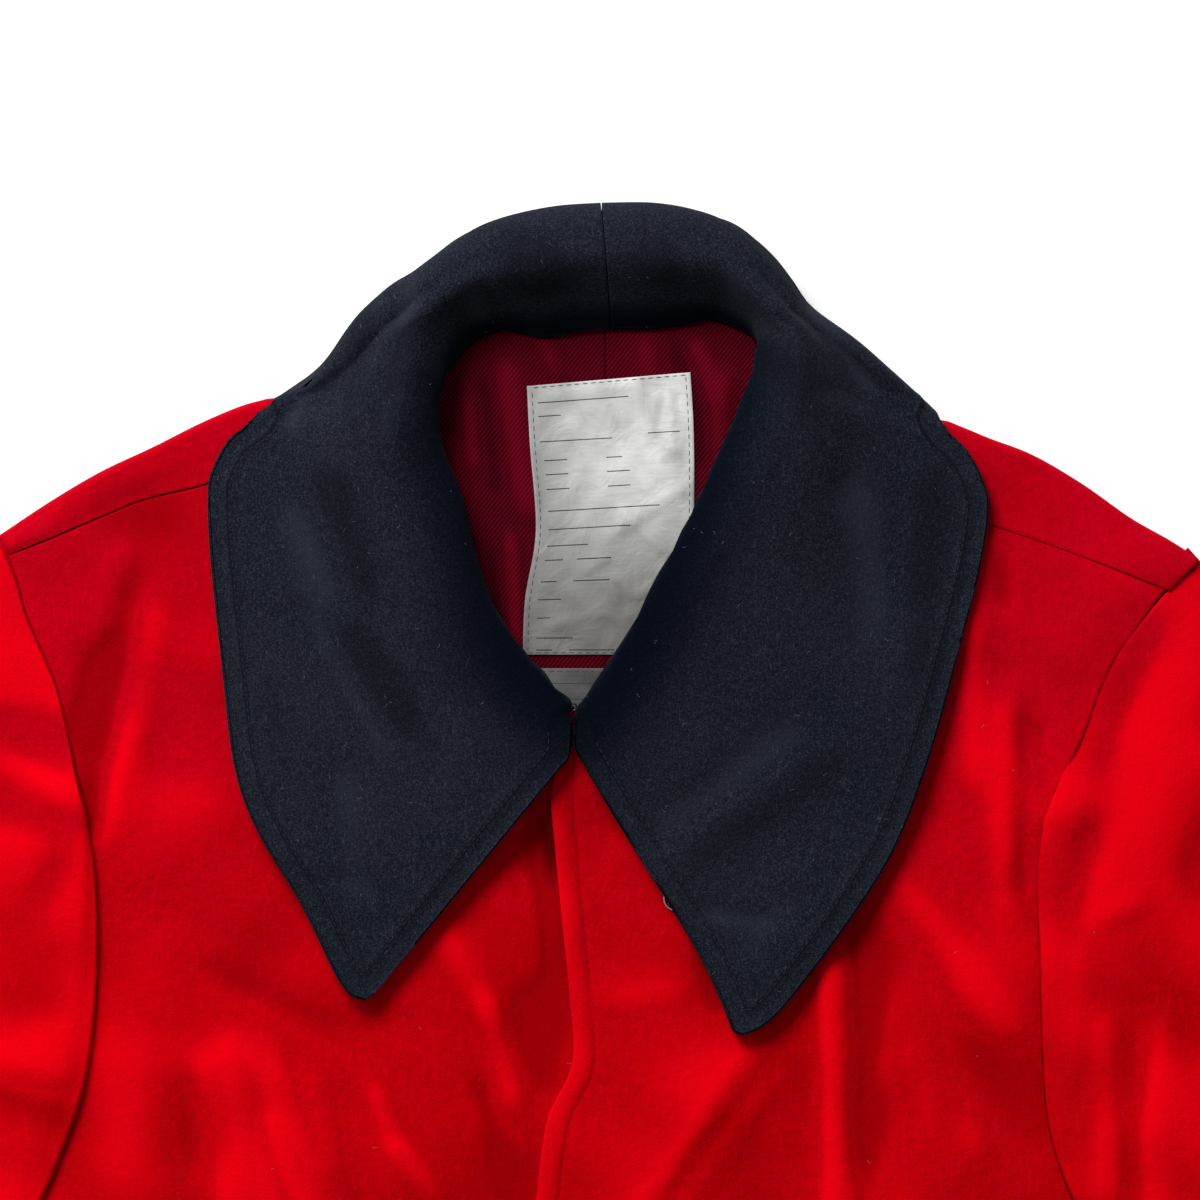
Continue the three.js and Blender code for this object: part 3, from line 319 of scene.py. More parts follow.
def waves(x, d, share=1.0):
    height = np.zeros_like(x)
    for length, way, rise, phase in WAVES:
        angle = math.radians(way)
        run = x * math.cos(angle) + d * math.sin(angle)
        height = height + rise * np.sin(2 * math.pi * run / length + phase)
    return share * height


# The back lies on the floor, and rises over the rear part of the collar, which is turned under it. The
# fronts rise where the collar's ends are fastened. Both places are boxes of the plan: x, x, d, d.
TURNED_UNDER = (-163, 171, -60, 84)
UNDER_RISE = 5
UNDER_REACH = 120
THROAT = (-30, 45, 120, 192)
THROAT_RISE = 4
THROAT_REACH = 30
# The fronts come down to the back within this distance of the side seams and the hem.
SIDE_REACH = 45
# The left front comes down from the right one below it over this stretch beyond the underlap's edge.
LAP_START = UNDERLAP_EDGE + 17
LAP_REACH = 34


def back_middle(x, d):
    return MELTON / 2 + UNDER_RISE * (1 - ease(0, UNDER_REACH, outside(x, d, TURNED_UNDER)))


def hem_drop(x):
    return BACK_LENGTH - HEM_RISE * (x / HEM_HALF_WIDTH) ** 2


# Where the hook and the ring are held to the cloth, it stays even round them: x, d and reach.
FASTENING = (-7, 170)
RING_PLACE = (38.5, 249.5)
HELD = [(*FASTENING, 38), (*RING_PLACE, 16)]
# No hollow of the cloth is deeper than this.
DEEPEST = -2.3


def front_relief(x, d):
    """Folds, creases and waves of the fronts, in millimetres above their even height."""
    height = crease_height(FOLDS, x, d) + crease_height(CREASES, x, d) + waves(x, d)
    for held_x, held_d, reach in HELD:
        height = height * (1 - np.exp(-((x - held_x) ** 2 + (d - held_d) ** 2) / reach**2))
    return np.maximum(height, DEEPEST)


def front_lift(x, d):
    hem = hem_drop(x)
    side = lerp(CHEST_HALF_WIDTH, HEM_HALF_WIDTH, (d - UNDERARM_D) / (hem - UNDERARM_D))
    from_side = np.where(d > UNDERARM_D - SIDE_REACH, side - np.abs(x), 2 * SIDE_REACH)
    share = ease(0, SIDE_REACH, from_side) * ease(0, SIDE_REACH, hem - d)
    return LIFT_AT_EDGES + share * (LIFT_INSIDE - LIFT_AT_EDGES + front_relief(x, d))


def front_middle(side, x, d):
    lap = LAP_STEP * (1 - ease(LAP_START, LAP_START + LAP_REACH, x)) if side == "left" else 0
    rise = THROAT_RISE * (1 - ease(0, THROAT_REACH, outside(x, d, THROAT)))
    return back_middle(x, d) + front_lift(x, d) + rise + lap


def body_top(x, d):
    overlapped = ease(-44, -22, x)
    return lerp(front_middle("right", x, d), front_middle("left", x, d), overlapped) + MELTON / 2


# Meshes
def quads(index):
    """Faces between neighbours in a grid of point numbers."""
    corners = [index[:-1, :-1], index[1:, :-1], index[1:, 1:], index[:-1, 1:]]
    return np.stack(corners, axis=-1).reshape(-1, 4)


def grid_faces(rows, columns, round_rows=False):
    index = np.arange(rows * columns).reshape(rows, columns)
    if round_rows:
        index = np.hstack([index, index[:, :1]])
    return quads(index)


def vertex_normals(points, faces):
    a, b, c, d = (points[faces[:, k]] for k in range(4))
    normal = np.cross(c - a, d - b)
    found = np.zeros_like(points)
    for k in range(4):
        np.add.at(found, faces[:, k], normal)
    return found / np.maximum(np.linalg.norm(found, axis=1), 1e-9)[:, None]


def boundary(faces):
    """Edges that only one face has, as pairs of point numbers with the face on the left."""
    edges = np.concatenate([faces[:, [k, (k + 1) % 4]] for k in range(4)])
    seen = {(a, b) for a, b in edges.tolist()}
    return np.array([(a, b) for a, b in seen if (b, a) not in seen])


RIM_STEPS = 4


def shell(name, points, faces, thickness, material, slot_name, bulge=0.35, attributes=()):
    """A closed wall round a middle surface of points in millimetres, with a rounded rim."""
    points = np.array(points, float)
    points[:, 1] = NECK_Y - points[:, 1]
    normals = vertex_normals(points, faces)
    edge = boundary(faces)
    count = len(points)
    outward = np.zeros_like(points)
    if len(edge):
        for a, b in edge:
            way = np.cross(points[b] - points[a], normals[a] + normals[b])
            outward[a] += way
            outward[b] += way
        size = np.linalg.norm(outward, axis=1)
        outward[size > 0] /= size[size > 0][:, None]
    half = thickness / 2
    bulge = np.broadcast_to(bulge, count)[:, None]
    # The flat sides stop short of the rim, so that the rim reaches just to the middle surface's edge.
    drawn = points - outward * half * bulge
    top = drawn + normals * half
    bottom = drawn - normals * half
    rim_points = np.unique(edge) if len(edge) else np.array([], int)
    place = {p: i for i, p in enumerate(rim_points.tolist())}
    layers = [top, bottom]
    for k in range(1, RIM_STEPS):
        turn = math.pi * k / RIM_STEPS
        layers.append(
            drawn[rim_points]
            + normals[rim_points] * half * math.cos(turn)
            + outward[rim_points] * half * bulge[rim_points] * math.sin(turn)
        )
    verts = np.vstack(layers)
    polygons = [faces, faces[:, ::-1] + count]
    if len(edge):
        index = np.array([[place[a], place[b]] for a, b in edge.tolist()])

        def level(k):
            if k == 0:
                return edge
            if k == RIM_STEPS:
                return edge + count
            return index + 2 * count + (k - 1) * len(rim_points)

        for k in range(RIM_STEPS):
            upper, lower = level(k), level(k + 1)
            polygons.append(np.stack([upper[:, 1], upper[:, 0], lower[:, 0], lower[:, 1]], axis=1))
    polygons = np.vstack(polygons)
    obj = make_mesh(name, verts, polygons, material)
    owner = np.concatenate([np.arange(count), np.arange(count)] + [rim_points] * (RIM_STEPS - 1))
    for key, values in attributes:
        layer = obj.data.attributes.new(key, "FLOAT", "POINT")
        layer.data.foreach_set("value", np.asarray(values, np.float32)[owner])
    return obj


def add_object(name, data):
    obj = bpy.data.objects.new(name, data)
    bpy.context.scene.collection.objects.link(obj)
    return obj


def make_mesh(name, verts, polygons, material):
    mesh = bpy.data.meshes.new(name)
    sizes = polygons.shape[1]
    mesh.vertices.add(len(verts))
    mesh.vertices.foreach_set("co", (np.asarray(verts) * 0.001).ravel())
    mesh.loops.add(polygons.size)
    mesh.loops.foreach_set("vertex_index", polygons.ravel().astype(np.int32))
    mesh.polygons.add(len(polygons))
    mesh.polygons.foreach_set("loop_start", np.arange(0, polygons.size, sizes, dtype=np.int32))
    mesh.polygons.foreach_set("use_smooth", np.ones(len(polygons), bool))
    mesh.update(calc_edges=True)
    mesh.validate()
    mesh.materials.append(material)
    obj = add_object(name, mesh)
    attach(obj, "root")
    return obj


def edge_distance(points, line, step=4000):
    """Distance of each point from a polyline, in millimetres."""
    a, b = line[:-1], line[1:]
    way = b - a
    size = np.maximum((way**2).sum(axis=1), 1e-9)
    found = np.empty(len(points))
    for i in range(0, len(points), step):
        p = points[i : i + step, None, :]
        t = np.clip(((p - a) * way).sum(axis=2) / size, 0, 1)
        found[i : i + step] = np.sqrt((((a + t[..., None] * way) - p) ** 2).sum(axis=2)).min(axis=1)
    return found


# Back: rows from the neck and shoulders to the hem, then a flap over each shoulder.
armhole = {side: track(ARMHOLE[side]) for side in ARMHOLE}
shoulder_fold = {side: track(SHOULDER_FOLD[side]) for side in SHOULDER_FOLD}
shoulder_seam = {side: track(SHOULDER_SEAM[side]) for side in SHOULDER_SEAM}
back_neck = track(BACK_NECK_SEAM)
HEM_CORNER = {
    "right": np.array([-HEM_HALF_WIDTH, hem_drop(HEM_HALF_WIDTH)]),
    "left": np.array([HEM_HALF_WIDTH, hem_drop(HEM_HALF_WIDTH)]),
}
FLAP_COLUMNS = 80
NECK_COLUMNS = 30
ROWS_BETWEEN_STATIONS = 5
SKIRT_ROWS = 60
FOLD_TURNS = 8
FLAP_STRIPS = 14
FLAP_CROWN = 0.5


def fold_axis(side, share):
    """The line about which the back turns over the shoulder, and the way out from it."""
    before = shoulder_fold[side](share - 0.04)
    after = shoulder_fold[side](share + 0.04)
    way = directions(after - before)
    sign = 1 if side == "right" else -1
    out = np.stack([way[..., 1], -way[..., 0]], axis=-1) * sign
    return shoulder_fold[side](share) - out * (FOLD_RADIUS + MELTON / 2), out


def back_points():
    shares = np.arange(FLAP_COLUMNS) / FLAP_COLUMNS
    right, _ = fold_axis("right", shares)
    left, _ = fold_axis("left", shares[::-1])
    corner_right, _ = fold_axis("right", np.array([1.0]))
    corner_left, _ = fold_axis("left", np.array([1.0]))
    neck = back_neck(np.arange(1, NECK_COLUMNS) / NECK_COLUMNS)
    top = np.vstack([right, corner_right, neck, corner_left, left])
    columns = len(top)
    across = (np.arange(columns) / (columns - 1))[:, None]
    # Columns are evened out below the top line, so that they follow the sides.
    start = lerp(top[0], top[-1], across)
    rows = [top]
    last = len(STATIONS["right"]) - 1
    for r in np.arange(1, last * ROWS_BETWEEN_STATIONS + 1) / ROWS_BETWEEN_STATIONS:
        edge_right = armhole["right"](blend_rows(np.array(STATIONS["right"])[:, None], r)[0])
        edge_left = armhole["left"](blend_rows(np.array(STATIONS["left"])[:, None], r)[0])
        rows.append(lerp(edge_right, edge_left, across) + (1 - r / last) ** 1.5 * (top - start))
    for down in np.arange(1, SKIRT_ROWS + 1) / SKIRT_ROWS:
        edge_right = lerp(armhole["right"](1.0), HEM_CORNER["right"], down)
        edge_left = lerp(armhole["left"](1.0), HEM_CORNER["left"], down)
        plan = lerp(edge_right, edge_left, across)
        plan[:, 1] += down**3 * (hem_drop(plan[:, 0]) - plan[:, 1])
        rows.append(plan)
    plan = np.array(rows)
    return np.dstack([plan, back_middle(plan[..., 0], plan[..., 1])])


def make_back():
    main = back_points()
    rows, columns = main.shape[:2]
    points = [main.reshape(-1, 3)]
    faces = [grid_faces(rows, columns)]
    base_count = rows * columns
    for side in ("right", "left"):
        shares = np.arange(FLAP_COLUMNS + 1) / FLAP_COLUMNS
        first = np.arange(FLAP_COLUMNS + 1)
        if side == "left":
            shares = shares[::-1]
            first = first + columns - FLAP_COLUMNS - 1
        axis, out = fold_axis(side, shares)
        base = back_middle(axis[:, 0], axis[:, 1])
        layers = []
        for turn in np.arange(1, FOLD_TURNS + 1) / FOLD_TURNS * math.pi:
            reach = FOLD_RADIUS * math.sin(turn)
            z = base + FOLD_RADIUS * (1 - math.cos(turn))
            layers.append(np.column_stack([axis + out * reach, z]))
        seam = shoulder_seam[side](shares)
        for strip in np.arange(1, FLAP_STRIPS + 1) / FLAP_STRIPS:
            plan = lerp(axis, seam, strip)
            x, d = plan[:, 0], plan[:, 1]
            z = lerp(base + LIFT_INSIDE, front_middle(side, x, d), ease(0, 0.8, strip))
            z = z + FLAP_CROWN * math.sin(math.pi * min(1, strip * 1.1)) + waves(x, d, 0.6)
            layers.append(np.column_stack([x, d, z]))
        count = base_count + sum(len(p) for p in points[1:])
        points.append(np.vstack(layers))
        width = FLAP_COLUMNS + 1
        index = np.vstack([first[None, :], count + np.arange(len(layers) * width).reshape(-1, width)])
        faces.append(quads(index[::-1]))
    return np.vstack(points), np.vstack(faces)


# Fronts: rows from shoulder to hem, columns from the inner edge to the side, closest at the inner edge.
EDGE_STEPS = np.array([0, 1.2, 2.6, 5, 7.6, 8.6, 9.2, 9.7, 10.2, 10.8, 12, 14.5, 18])
FRONT_COLUMNS = 92
FRONT_STEPS = 11
FRONT_SKIRT_ROWS = 11
SKIRT_STEPS = 7
EDGE_PROUD = 2.2
EDGE_WIDTH = 9
SEWN_DEPTH = 0.5
SEWN_WIDTH = 1.3
# How much painted highlight the proud edge gets and painted shade its stitching, beside their own height.
PROUD_HIGHLIGHT = 1.6
SEWN_SHADE = 3
# The overlap starts between these two places down the coat.
LAP_OPENS = (195, 215)
# How much painted shade lies beside the overlap, in the terms of the relief, over what width, and between
# what places it starts and ends.
LAP_SHADE = 3.4
LAP_SHADE_WIDTH = 8
LAP_SHADE_STARTS = (196, 214)
LAP_SHADE_ENDS = (268, 300)


def front_plan(side, across, row):
    rows = np.array(FRONT_ROWS[side], float)
    last = len(rows) - 1
    across = across[:, None]
    if row <= last:
        outer = armhole[side](blend_rows(np.array(STATIONS[side][1:])[:, None], row)[0])
        straight = lerp(blend_rows(rows, row), outer, across)
        seam = shoulder_seam[side](1 - across[:, 0])
        start = lerp(shoulder_seam[side](1.0), shoulder_seam[side](0.0), across)
        return straight + max(0, 1 - row / 4) ** 2 * (seam - start)
    down = (row - last) / FRONT_SKIRT_ROWS
    edge = FRONT_EDGE_AT_HEM[side]
    inner = lerp(rows[last], np.array([edge, hem_drop(edge)]), down)
    outer = lerp(armhole[side](1.0), HEM_CORNER[side], down)
    plan = lerp(inner, outer, across)
    plan[:, 1] += down**3 * (hem_drop(plan[:, 0]) - plan[:, 1])
    return plan


def lap_shade(x, d):
    """How much painted shade darkens the hollow beside the overlap."""
    rows = np.array(FRONT_ROWS["left"])
    edge = np.interp(d, rows[:, 1], rows[:, 0])
    shade = LAP_SHADE * np.exp(-(((edge - x) / LAP_SHADE_WIDTH) ** 2))
    return shade * ease(*LAP_SHADE_STARTS, d) * (1 - ease(*LAP_SHADE_ENDS, d))


def make_front(side):
    last = len(FRONT_ROWS[side]) - 1
    skirt = np.arange(0, FRONT_SKIRT_ROWS + 0.001, 1 / SKIRT_STEPS)
    steps = np.concatenate([np.arange(0, last, 1 / FRONT_STEPS), last + skirt])
    lines = []
    for row in steps:
        ends = front_plan(side, np.array([0.0, 1.0]), row)
        width = np.linalg.norm(ends[1] - ends[0])
        spread = lerp(EDGE_STEPS[-1], width, np.arange(1, FRONT_COLUMNS + 1) / FRONT_COLUMNS)
        plan = front_plan(side, np.concatenate([EDGE_STEPS, spread]) / width, row)
        if row == 0:
            plan[:, 1] += 0.5
        lines.append(plan if side == "left" else plan[::-1])
    plan = np.array(lines)
    x, d = plan[..., 0], plan[..., 1]
    z = front_middle(side, x, d)
    if side == "left":
        from_edge = np.concatenate([EDGE_STEPS, np.full(FRONT_COLUMNS, 60.0)])[None, :]
        below = ease(*LAP_OPENS, d)
        # The edge is several layers thick, and stands proud of the front below it.
        proud = EDGE_PROUD * np.exp(-((from_edge / EDGE_WIDTH) ** 2))
        sewn = SEWN_DEPTH * np.exp(-(((from_edge - STITCH_INSET) / SEWN_WIDTH) ** 2))
        z = z + below * (proud - sewn)
    points = np.dstack([x, d, z]).reshape(-1, 3)
    relief = front_relief(x, d)
    # The tone is painted lighter on the proud edge as a highlight, and darker at its stitching and beside
    # the overlap as shade.
    if side == "left":
        relief = relief + below * (PROUD_HIGHLIGHT * proud - SEWN_SHADE * sewn)
    else:
        relief = relief - lap_shade(x, d)
    return points, grid_faces(*x.shape), relief.ravel()


# Sleeves: flattened tubes from the armhole seam, lying partly over the body.
SLEEVE = {
    "right": {
        "outer": [(-257.2, 93.2), (-330, 160), (-400, 240), (-451, 314), (-510, 470), (-553, 628)],
        "inner": [(-220.1, 218.4), (-216.5, 250), (-216.5, 292), (-221, 330), (-231, 360), (-240.5, 383),
                  (-310, 530), (-387, 682)],
    },
    "left": {
        "outer": [(265.6, 103.2), (336, 166), (405, 246), (458, 322), (515, 478), (556, 636)],
        "inner": [(200.4, 219.6), (198.5, 240), (199.2, 290), (200.2, 322), (203, 352), (213, 382),
                  (300, 538), (392, 690)],
    },
}
SLEEVE_ROWS = 150
SLEEVE_COLUMNS = 56
FOLD_STEPS = 8
SLEEVE_PUFF = 1
# The side folds are pressed: their radius there, as a share, and how far in the pressing reaches.
PRESSED = 0.5
PRESS_REACH = 8
SLEEVE_CLEAR = 0.5
# The sleeves are made a little lighter than the body, through the tone that lightens the folds.
SLEEVE_LIGHTER = {"right": 2.5, "left": 1.2}
SLEEVE_SEAM_GAP = 0.45
# Where the left sleeve's pressed fold meets the body, a dark line of painted shade runs along it.
FOLD_SHADE = {"right": 0, "left": 8}
# A sleeve lies on the body, and comes down to the floor between these distances from it.
DOWN_FROM = 7
DOWN_TO = 42
sleeve_outer = {side: track(SLEEVE[side]["outer"]) for side in SLEEVE}
sleeve_inner = {side: track(SLEEVE[side]["inner"]) for side in SLEEVE}


def seam_share(side, across):
    at = LAP_STATION * (1 - across)
    rows = np.array(STATIONS[side])[:, None]
    return np.array([blend_rows(rows, v)[0] for v in np.ravel(at)])


def sleeve_plan(side, across, down):
    inner, outer = sleeve_inner[side](down), sleeve_outer[side](down)
    width = np.linalg.norm(outer - inner)
    inset = (FOLD_RADIUS * PRESSED + MELTON / 2) / width * ease(0, 0.06, down)
    across = lerp(inset, 1 - inset, across)[:, None]
    seam = armhole[side](seam_share(side, across))
    cuff_in, cuff_out = sleeve_inner[side](1.0), sleeve_outer[side](1.0)
    seam_in, seam_out = armhole[side](STATIONS[side][LAP_STATION]), armhole[side](STATIONS[side][0])
    along_seam = lerp(seam, lerp(cuff_in, cuff_out, across), down)
    along_edges = lerp(inner, outer, across)
    corners = lerp(lerp(seam_in, seam_out, across), lerp(cuff_in, cuff_out, across), down)
    return along_seam + along_edges - corners


def over_body(side, x, d):
    """1 where a point lies on the body below the armhole, falling to 0 away from it."""
    along = np.arange(81) / 80
    seam = armhole[side](lerp(STATIONS[side][LAP_STATION], 1, along))
    skirt = lerp(armhole[side](1.0), HEM_CORNER[side], along[1:, None])
    edge = np.vstack([seam, skirt])
    gap = np.hypot(x[:, None] - edge[:, 0], d[:, None] - edge[:, 1])
    nearest = gap.argmin(axis=1)
    inside = (np.abs(x) < np.abs(edge[nearest, 0])) & (d > edge[0, 1])
    return np.where(inside, 1, 1 - ease(DOWN_FROM, DOWN_TO, gap.min(axis=1)))


def make_sleeve(side):
    sign = 1 if side == "left" else -1
    flat = np.arange(SLEEVE_COLUMNS + 1) / SLEEVE_COLUMNS
    turns = np.arange(1, FOLD_STEPS) / FOLD_STEPS
    none = np.zeros(SLEEVE_COLUMNS + 1)
    across = np.concatenate([flat, np.ones(FOLD_STEPS - 1), flat[::-1], np.zeros(FOLD_STEPS - 1)])
    turn = np.concatenate([none, turns, none, 1 - turns])
    level = np.concatenate([none + 1, np.full(FOLD_STEPS - 1, 0.5), none, np.full(FOLD_STEPS - 1, 0.5)])
    rows = []
    reliefs = []
    for r in range(SLEEVE_ROWS + 1):
        down = (r / SLEEVE_ROWS) ** 1.15
        plan = sleeve_plan(side, across, down)
        near = np.clip(across + 0.05, 0.05, 1)
        way = directions(sleeve_plan(side, near, down) - sleeve_plan(side, near - 0.05, down))
        x, d = plan[:, 0], plan[:, 1]
        base = back_middle(x, d)
        lifted = body_top(x, d) + SLEEVE_CLEAR + MELTON / 2
        base = lerp(base, np.maximum(base, lifted), over_body(side, x, d))
        relief = np.maximum(crease_height(SLEEVE_CREASES, x, d) + waves(x, d, 1.1), DEEPEST)
        # Painted shade along the pressed fold where it meets the body, and the sleeves' lighter tone.
        pressed = (level == 0.5) * (across < 0.5) * ease(0.05, 0.4, turn)
        reliefs.append(relief * (level == 1) + SLEEVE_LIGHTER[side] - FOLD_SHADE[side] * pressed)
        puff = (SLEEVE_PUFF + relief) * np.sin(math.pi * across) ** 0.6 * ease(0, 0.12, down)
        width = np.linalg.norm(sleeve_outer[side](down) - sleeve_inner[side](down))
        from_side = np.minimum(across, 1 - across) * width
        radius = FOLD_RADIUS * (1 - (1 - PRESSED) * np.exp(-((from_side / PRESS_REACH) ** 2)))
        z = np.where(level == 1, base + 2 * radius + puff, base)
        z = np.where(level == 0.5, base + radius * (1 + np.cos(turn * math.pi)), z)
        out = (radius * np.sin(turn * math.pi) * np.where(across > 0.5, 1, -1) * (level == 0.5))[:, None]
        plan = plan + way * out
        share = seam_share(side, across)
        seam_way = directions(armhole[side](share + 0.02) - armhole[side](share - 0.02))
        gap = (SLEEVE_SEAM_GAP + 1.6 * across**6) * max(0, 1 - down / 0.03)
        plan = plan + np.column_stack([sign * np.abs(seam_way[:, 1]) * gap, np.abs(seam_way[:, 0]) * gap])
        rows.append(np.column_stack([plan, z]))
    rows = np.array(rows)
    reliefs = np.array(reliefs)
    if side == "left":
        rows = rows[:, ::-1]
        reliefs = reliefs[:, ::-1]
    return rows.reshape(-1, 3), grid_faces(rows.shape[0], rows.shape[1], True), reliefs.ravel()


# Collar: a row for each section, from the front end round to the centre back seam. Plan x and d of
# neck (where it is sewn on), wall (its inner face, halfway up), crest (with its height), fold (where the
# leaf turns down behind, in the rear rows) and edge (the leaf's outer edge). In front rows the leaf ends
# on the body, short of the fold by the length beyond, and its line bows sideways. In rear rows roll is
# how far the turned edge reaches, and turn is its height.
FRONT_ROLL = 6.3
COLLAR = {
    "right": {
        "front": [
            # neck x, d, wall x, d, crest x, d, height, edge x, d, beyond, bow
            (-10, 184, -7.2, 168, -8, 187.5, 20, -93.5, 291.5, 34, 0),
            (-17, 174, -9, 160.5, -15, 174, 20.5, -98.5, 294, 34, 0),
            (-26.8, 162, -17.5, 151, -25, 160, 21.5, -108.5, 287, 34, 0),
            (-33, 153.5, -25, 144, -31.5, 152, 22.2, -125.7, 252.5, 34, 0),
            (-39.2, 145.4, -30, 137, -37.6, 144, 23, -144.5, 221, 34, 0),
            (-50.9, 129, -40.5, 121.5, -51, 129, 25.5, -155, 192.5, 34, 0),
            (-62.7, 105.8, -48, 100, -64.6, 106.6, 29, -160.4, 150, 34, 0),
            (-70.5, 79, -54.5, 74, -74, 78.6, 33, -165.4, 103, 34, 0),
            (-74, 58, -62, 55, -82, 58, 36.5, -166.8, 72, 26, 0),
            (-74.5, 47, -64.5, 46, -85, 47, 38.5, -164.3, 60, 18, 0),
            (-74, 38, -65, 38, -86.5, 38.5, 39.5, -157, 47.4, 12, 0),
            (-73, 31, -65, 31, -87.5, 30, 40.5, -145.5, 38.6, 1.5, 0),
        ],
        "rear": [
            # neck x, d, height, wall x, d, crest x, d, height, fold x, d, edge x, d, roll, turn
            (-67, 22, 12.5, -64.8, 22, -87, 22, 41, -138.5, 33.4, -137, 42, 6.3, 16),
            (-60.5, 15.5, 10.4, -63.5, 13, -86, 12, 41, -116.7, 16.8, -118, 54, 9, 24),
            (-54.5, 8, 9.3, -60.5, 4, -82, 0, 41, -103.8, 1.8, -104, 62, 12, 30),
            (-47, 2.4, 9.3, -54, -5, -70, -10, 39.5, -86.7, -17, -82, 66, 13, 35),
            (-38, -1.2, 9.3, -43, -10, -54, -20, 38, -68.2, -29.4, -60, 67, 13, 36),
            (-28, 0.2, 9.3, -32, -11.5, -41, -25, 36.5, -51, -41, -44, 67, 15, 35),
            (-18.5, 2.4, 9.3, -21, -12, -27, -29, 35.5, -34, -47.6, -28, 66, 16, 34.5),
            (-4, 0, 9.3, -5.5, -13, -9, -31, 35, -13.8, -52, -12, 65, 16, 34),
            (10.4, -1.6, 9.3, 9.3, -13, 7.8, -32, 34.5, 5.8, -53.4, 4.8, 64, 16, 34),
        ],
    },
    "left": {
        "front": [
            (-2, 181, -5.8, 167, -6.3, 183, 20, 64.2, 310.4, 34, 3.8),
            (4.5, 173, -1, 160.5, 2, 173, 20.5, 76.2, 306, 34, 2.7),
            (11.3, 165, 4, 153, 10, 163, 21.5, 89.2, 293.4, 34, 1.5),
            (23, 147.7, 14, 137, 22, 146.5, 23, 115, 259, 34, 0),
            (35, 127.8, 24.5, 118, 35, 128, 25.5, 135.2, 226.5, 34, 0),
            (47, 107, 35.5, 98.5, 48.5, 108, 28.5, 150, 187, 34, 0),
            (59.8, 84.6, 46.5, 77, 62, 86, 32, 160.4, 150, 34, 0),
            (70.8, 62.8, 55.5, 57, 75, 64.5, 35, 171.3, 108, 30, 0),
            (79, 46, 63, 41, 84.5, 47, 38, 175.8, 79, 24, 0),
            (80.5, 37, 65.5, 34, 88, 39, 39, 173.2, 66, 18, 0),
            (80.5, 29, 69, 26, 90.5, 31, 40, 166.2, 52.6, 12, 0),
            (79.5, 22, 72, 19, 92, 25, 40.5, 154, 39.8, 1.5, 0),
        ],
        "rear": [
            (79, 14.5, 12.5, 75, 12, 92.5, 16, 41, 144.4, 30.2, 146, 42, 6.3, 16),
            (77, 6.5, 10.4, 77, 4, 91, 3, 41, 121.8, 9.8, 128, 55, 9, 24),
            (72, 1, 9.3, 74, -5, 82, -8, 40.5, 95.4, -12, 104, 63, 11, 31),
            (64, -3, 9.3, 66, -11.5, 71, -19, 39.5, 79.8, -31, 84, 66, 12, 35),
            (54, -6, 9.3, 56, -15, 60, -28, 37.5, 64.8, -43.8, 64, 67, 14, 35.5),
            (42, -3.4, 9.3, 43, -14.5, 45.5, -31, 36, 48.2, -50.2, 46, 66, 16, 34.5),
            (26, -1.6, 9.3, 26.5, -13, 27.5, -32, 35, 29, -53.4, 25, 65, 16, 34),
            (10.6, -1.6, 9.3, 9.5, -13, 8, -32, 34.5, 6, -53.4, 5.4, 64, 16, 34),
        ],
    },
}
COLLAR_CLEAR = 0.9
RING_LIFT = 1.4
RING_REACH = 22
# Over this share of the leaf's width it falls from the crest to the body.
FALL_SHARE = 0.42
# How high up from the neck seam to the crest the inner wall's point lies, as a share.
WALL_SHARE = 0.48


def collar_rows(side):
    """Every row in one form.

    neck x, d, z; wall x, d; crest x, d, z; fold x, d; out x, d; under; roll; turn; bow
    """
    half = COLLAR_WALL / 2
    found = []
    for nx, nd, wx, wd, cx, cd, cz, ex, ed, beyond, bow in COLLAR[side]["front"]:
        ux, ud = unit(ex - cx, ed - cd)
        nz = float(body_top(np.array(nx, float), np.array(nd, float))) + half + 2 * LAY_GAP
        under = -beyond - FRONT_ROLL * (math.pi / 2 - 1)
        wall = (wx + ux * half, wd + ud * half)
        fold = (ex + ux * beyond, ed + ud * beyond)
        turned = (0, 1, under, FRONT_ROLL, 2 * FRONT_ROLL + half, bow)
        found.append((nx, nd, nz, *wall, cx, cd, cz, *fold, *turned))
    for nx, nd, nz, wx, wd, cx, cd, cz, fx, fd, ex, ed, roll, turn in COLLAR[side]["rear"]:
        ox, od = unit(ex - fx, ed - fd)
        under = math.hypot(ex - fx, ed - fd) + roll * (math.pi / 2 - 1)
        found.append((nx, nd, nz, wx, wd, cx, cd, cz, fx, fd, ox, od, under, roll, turn, 0))
    return found


LEAF_STEPS = 24


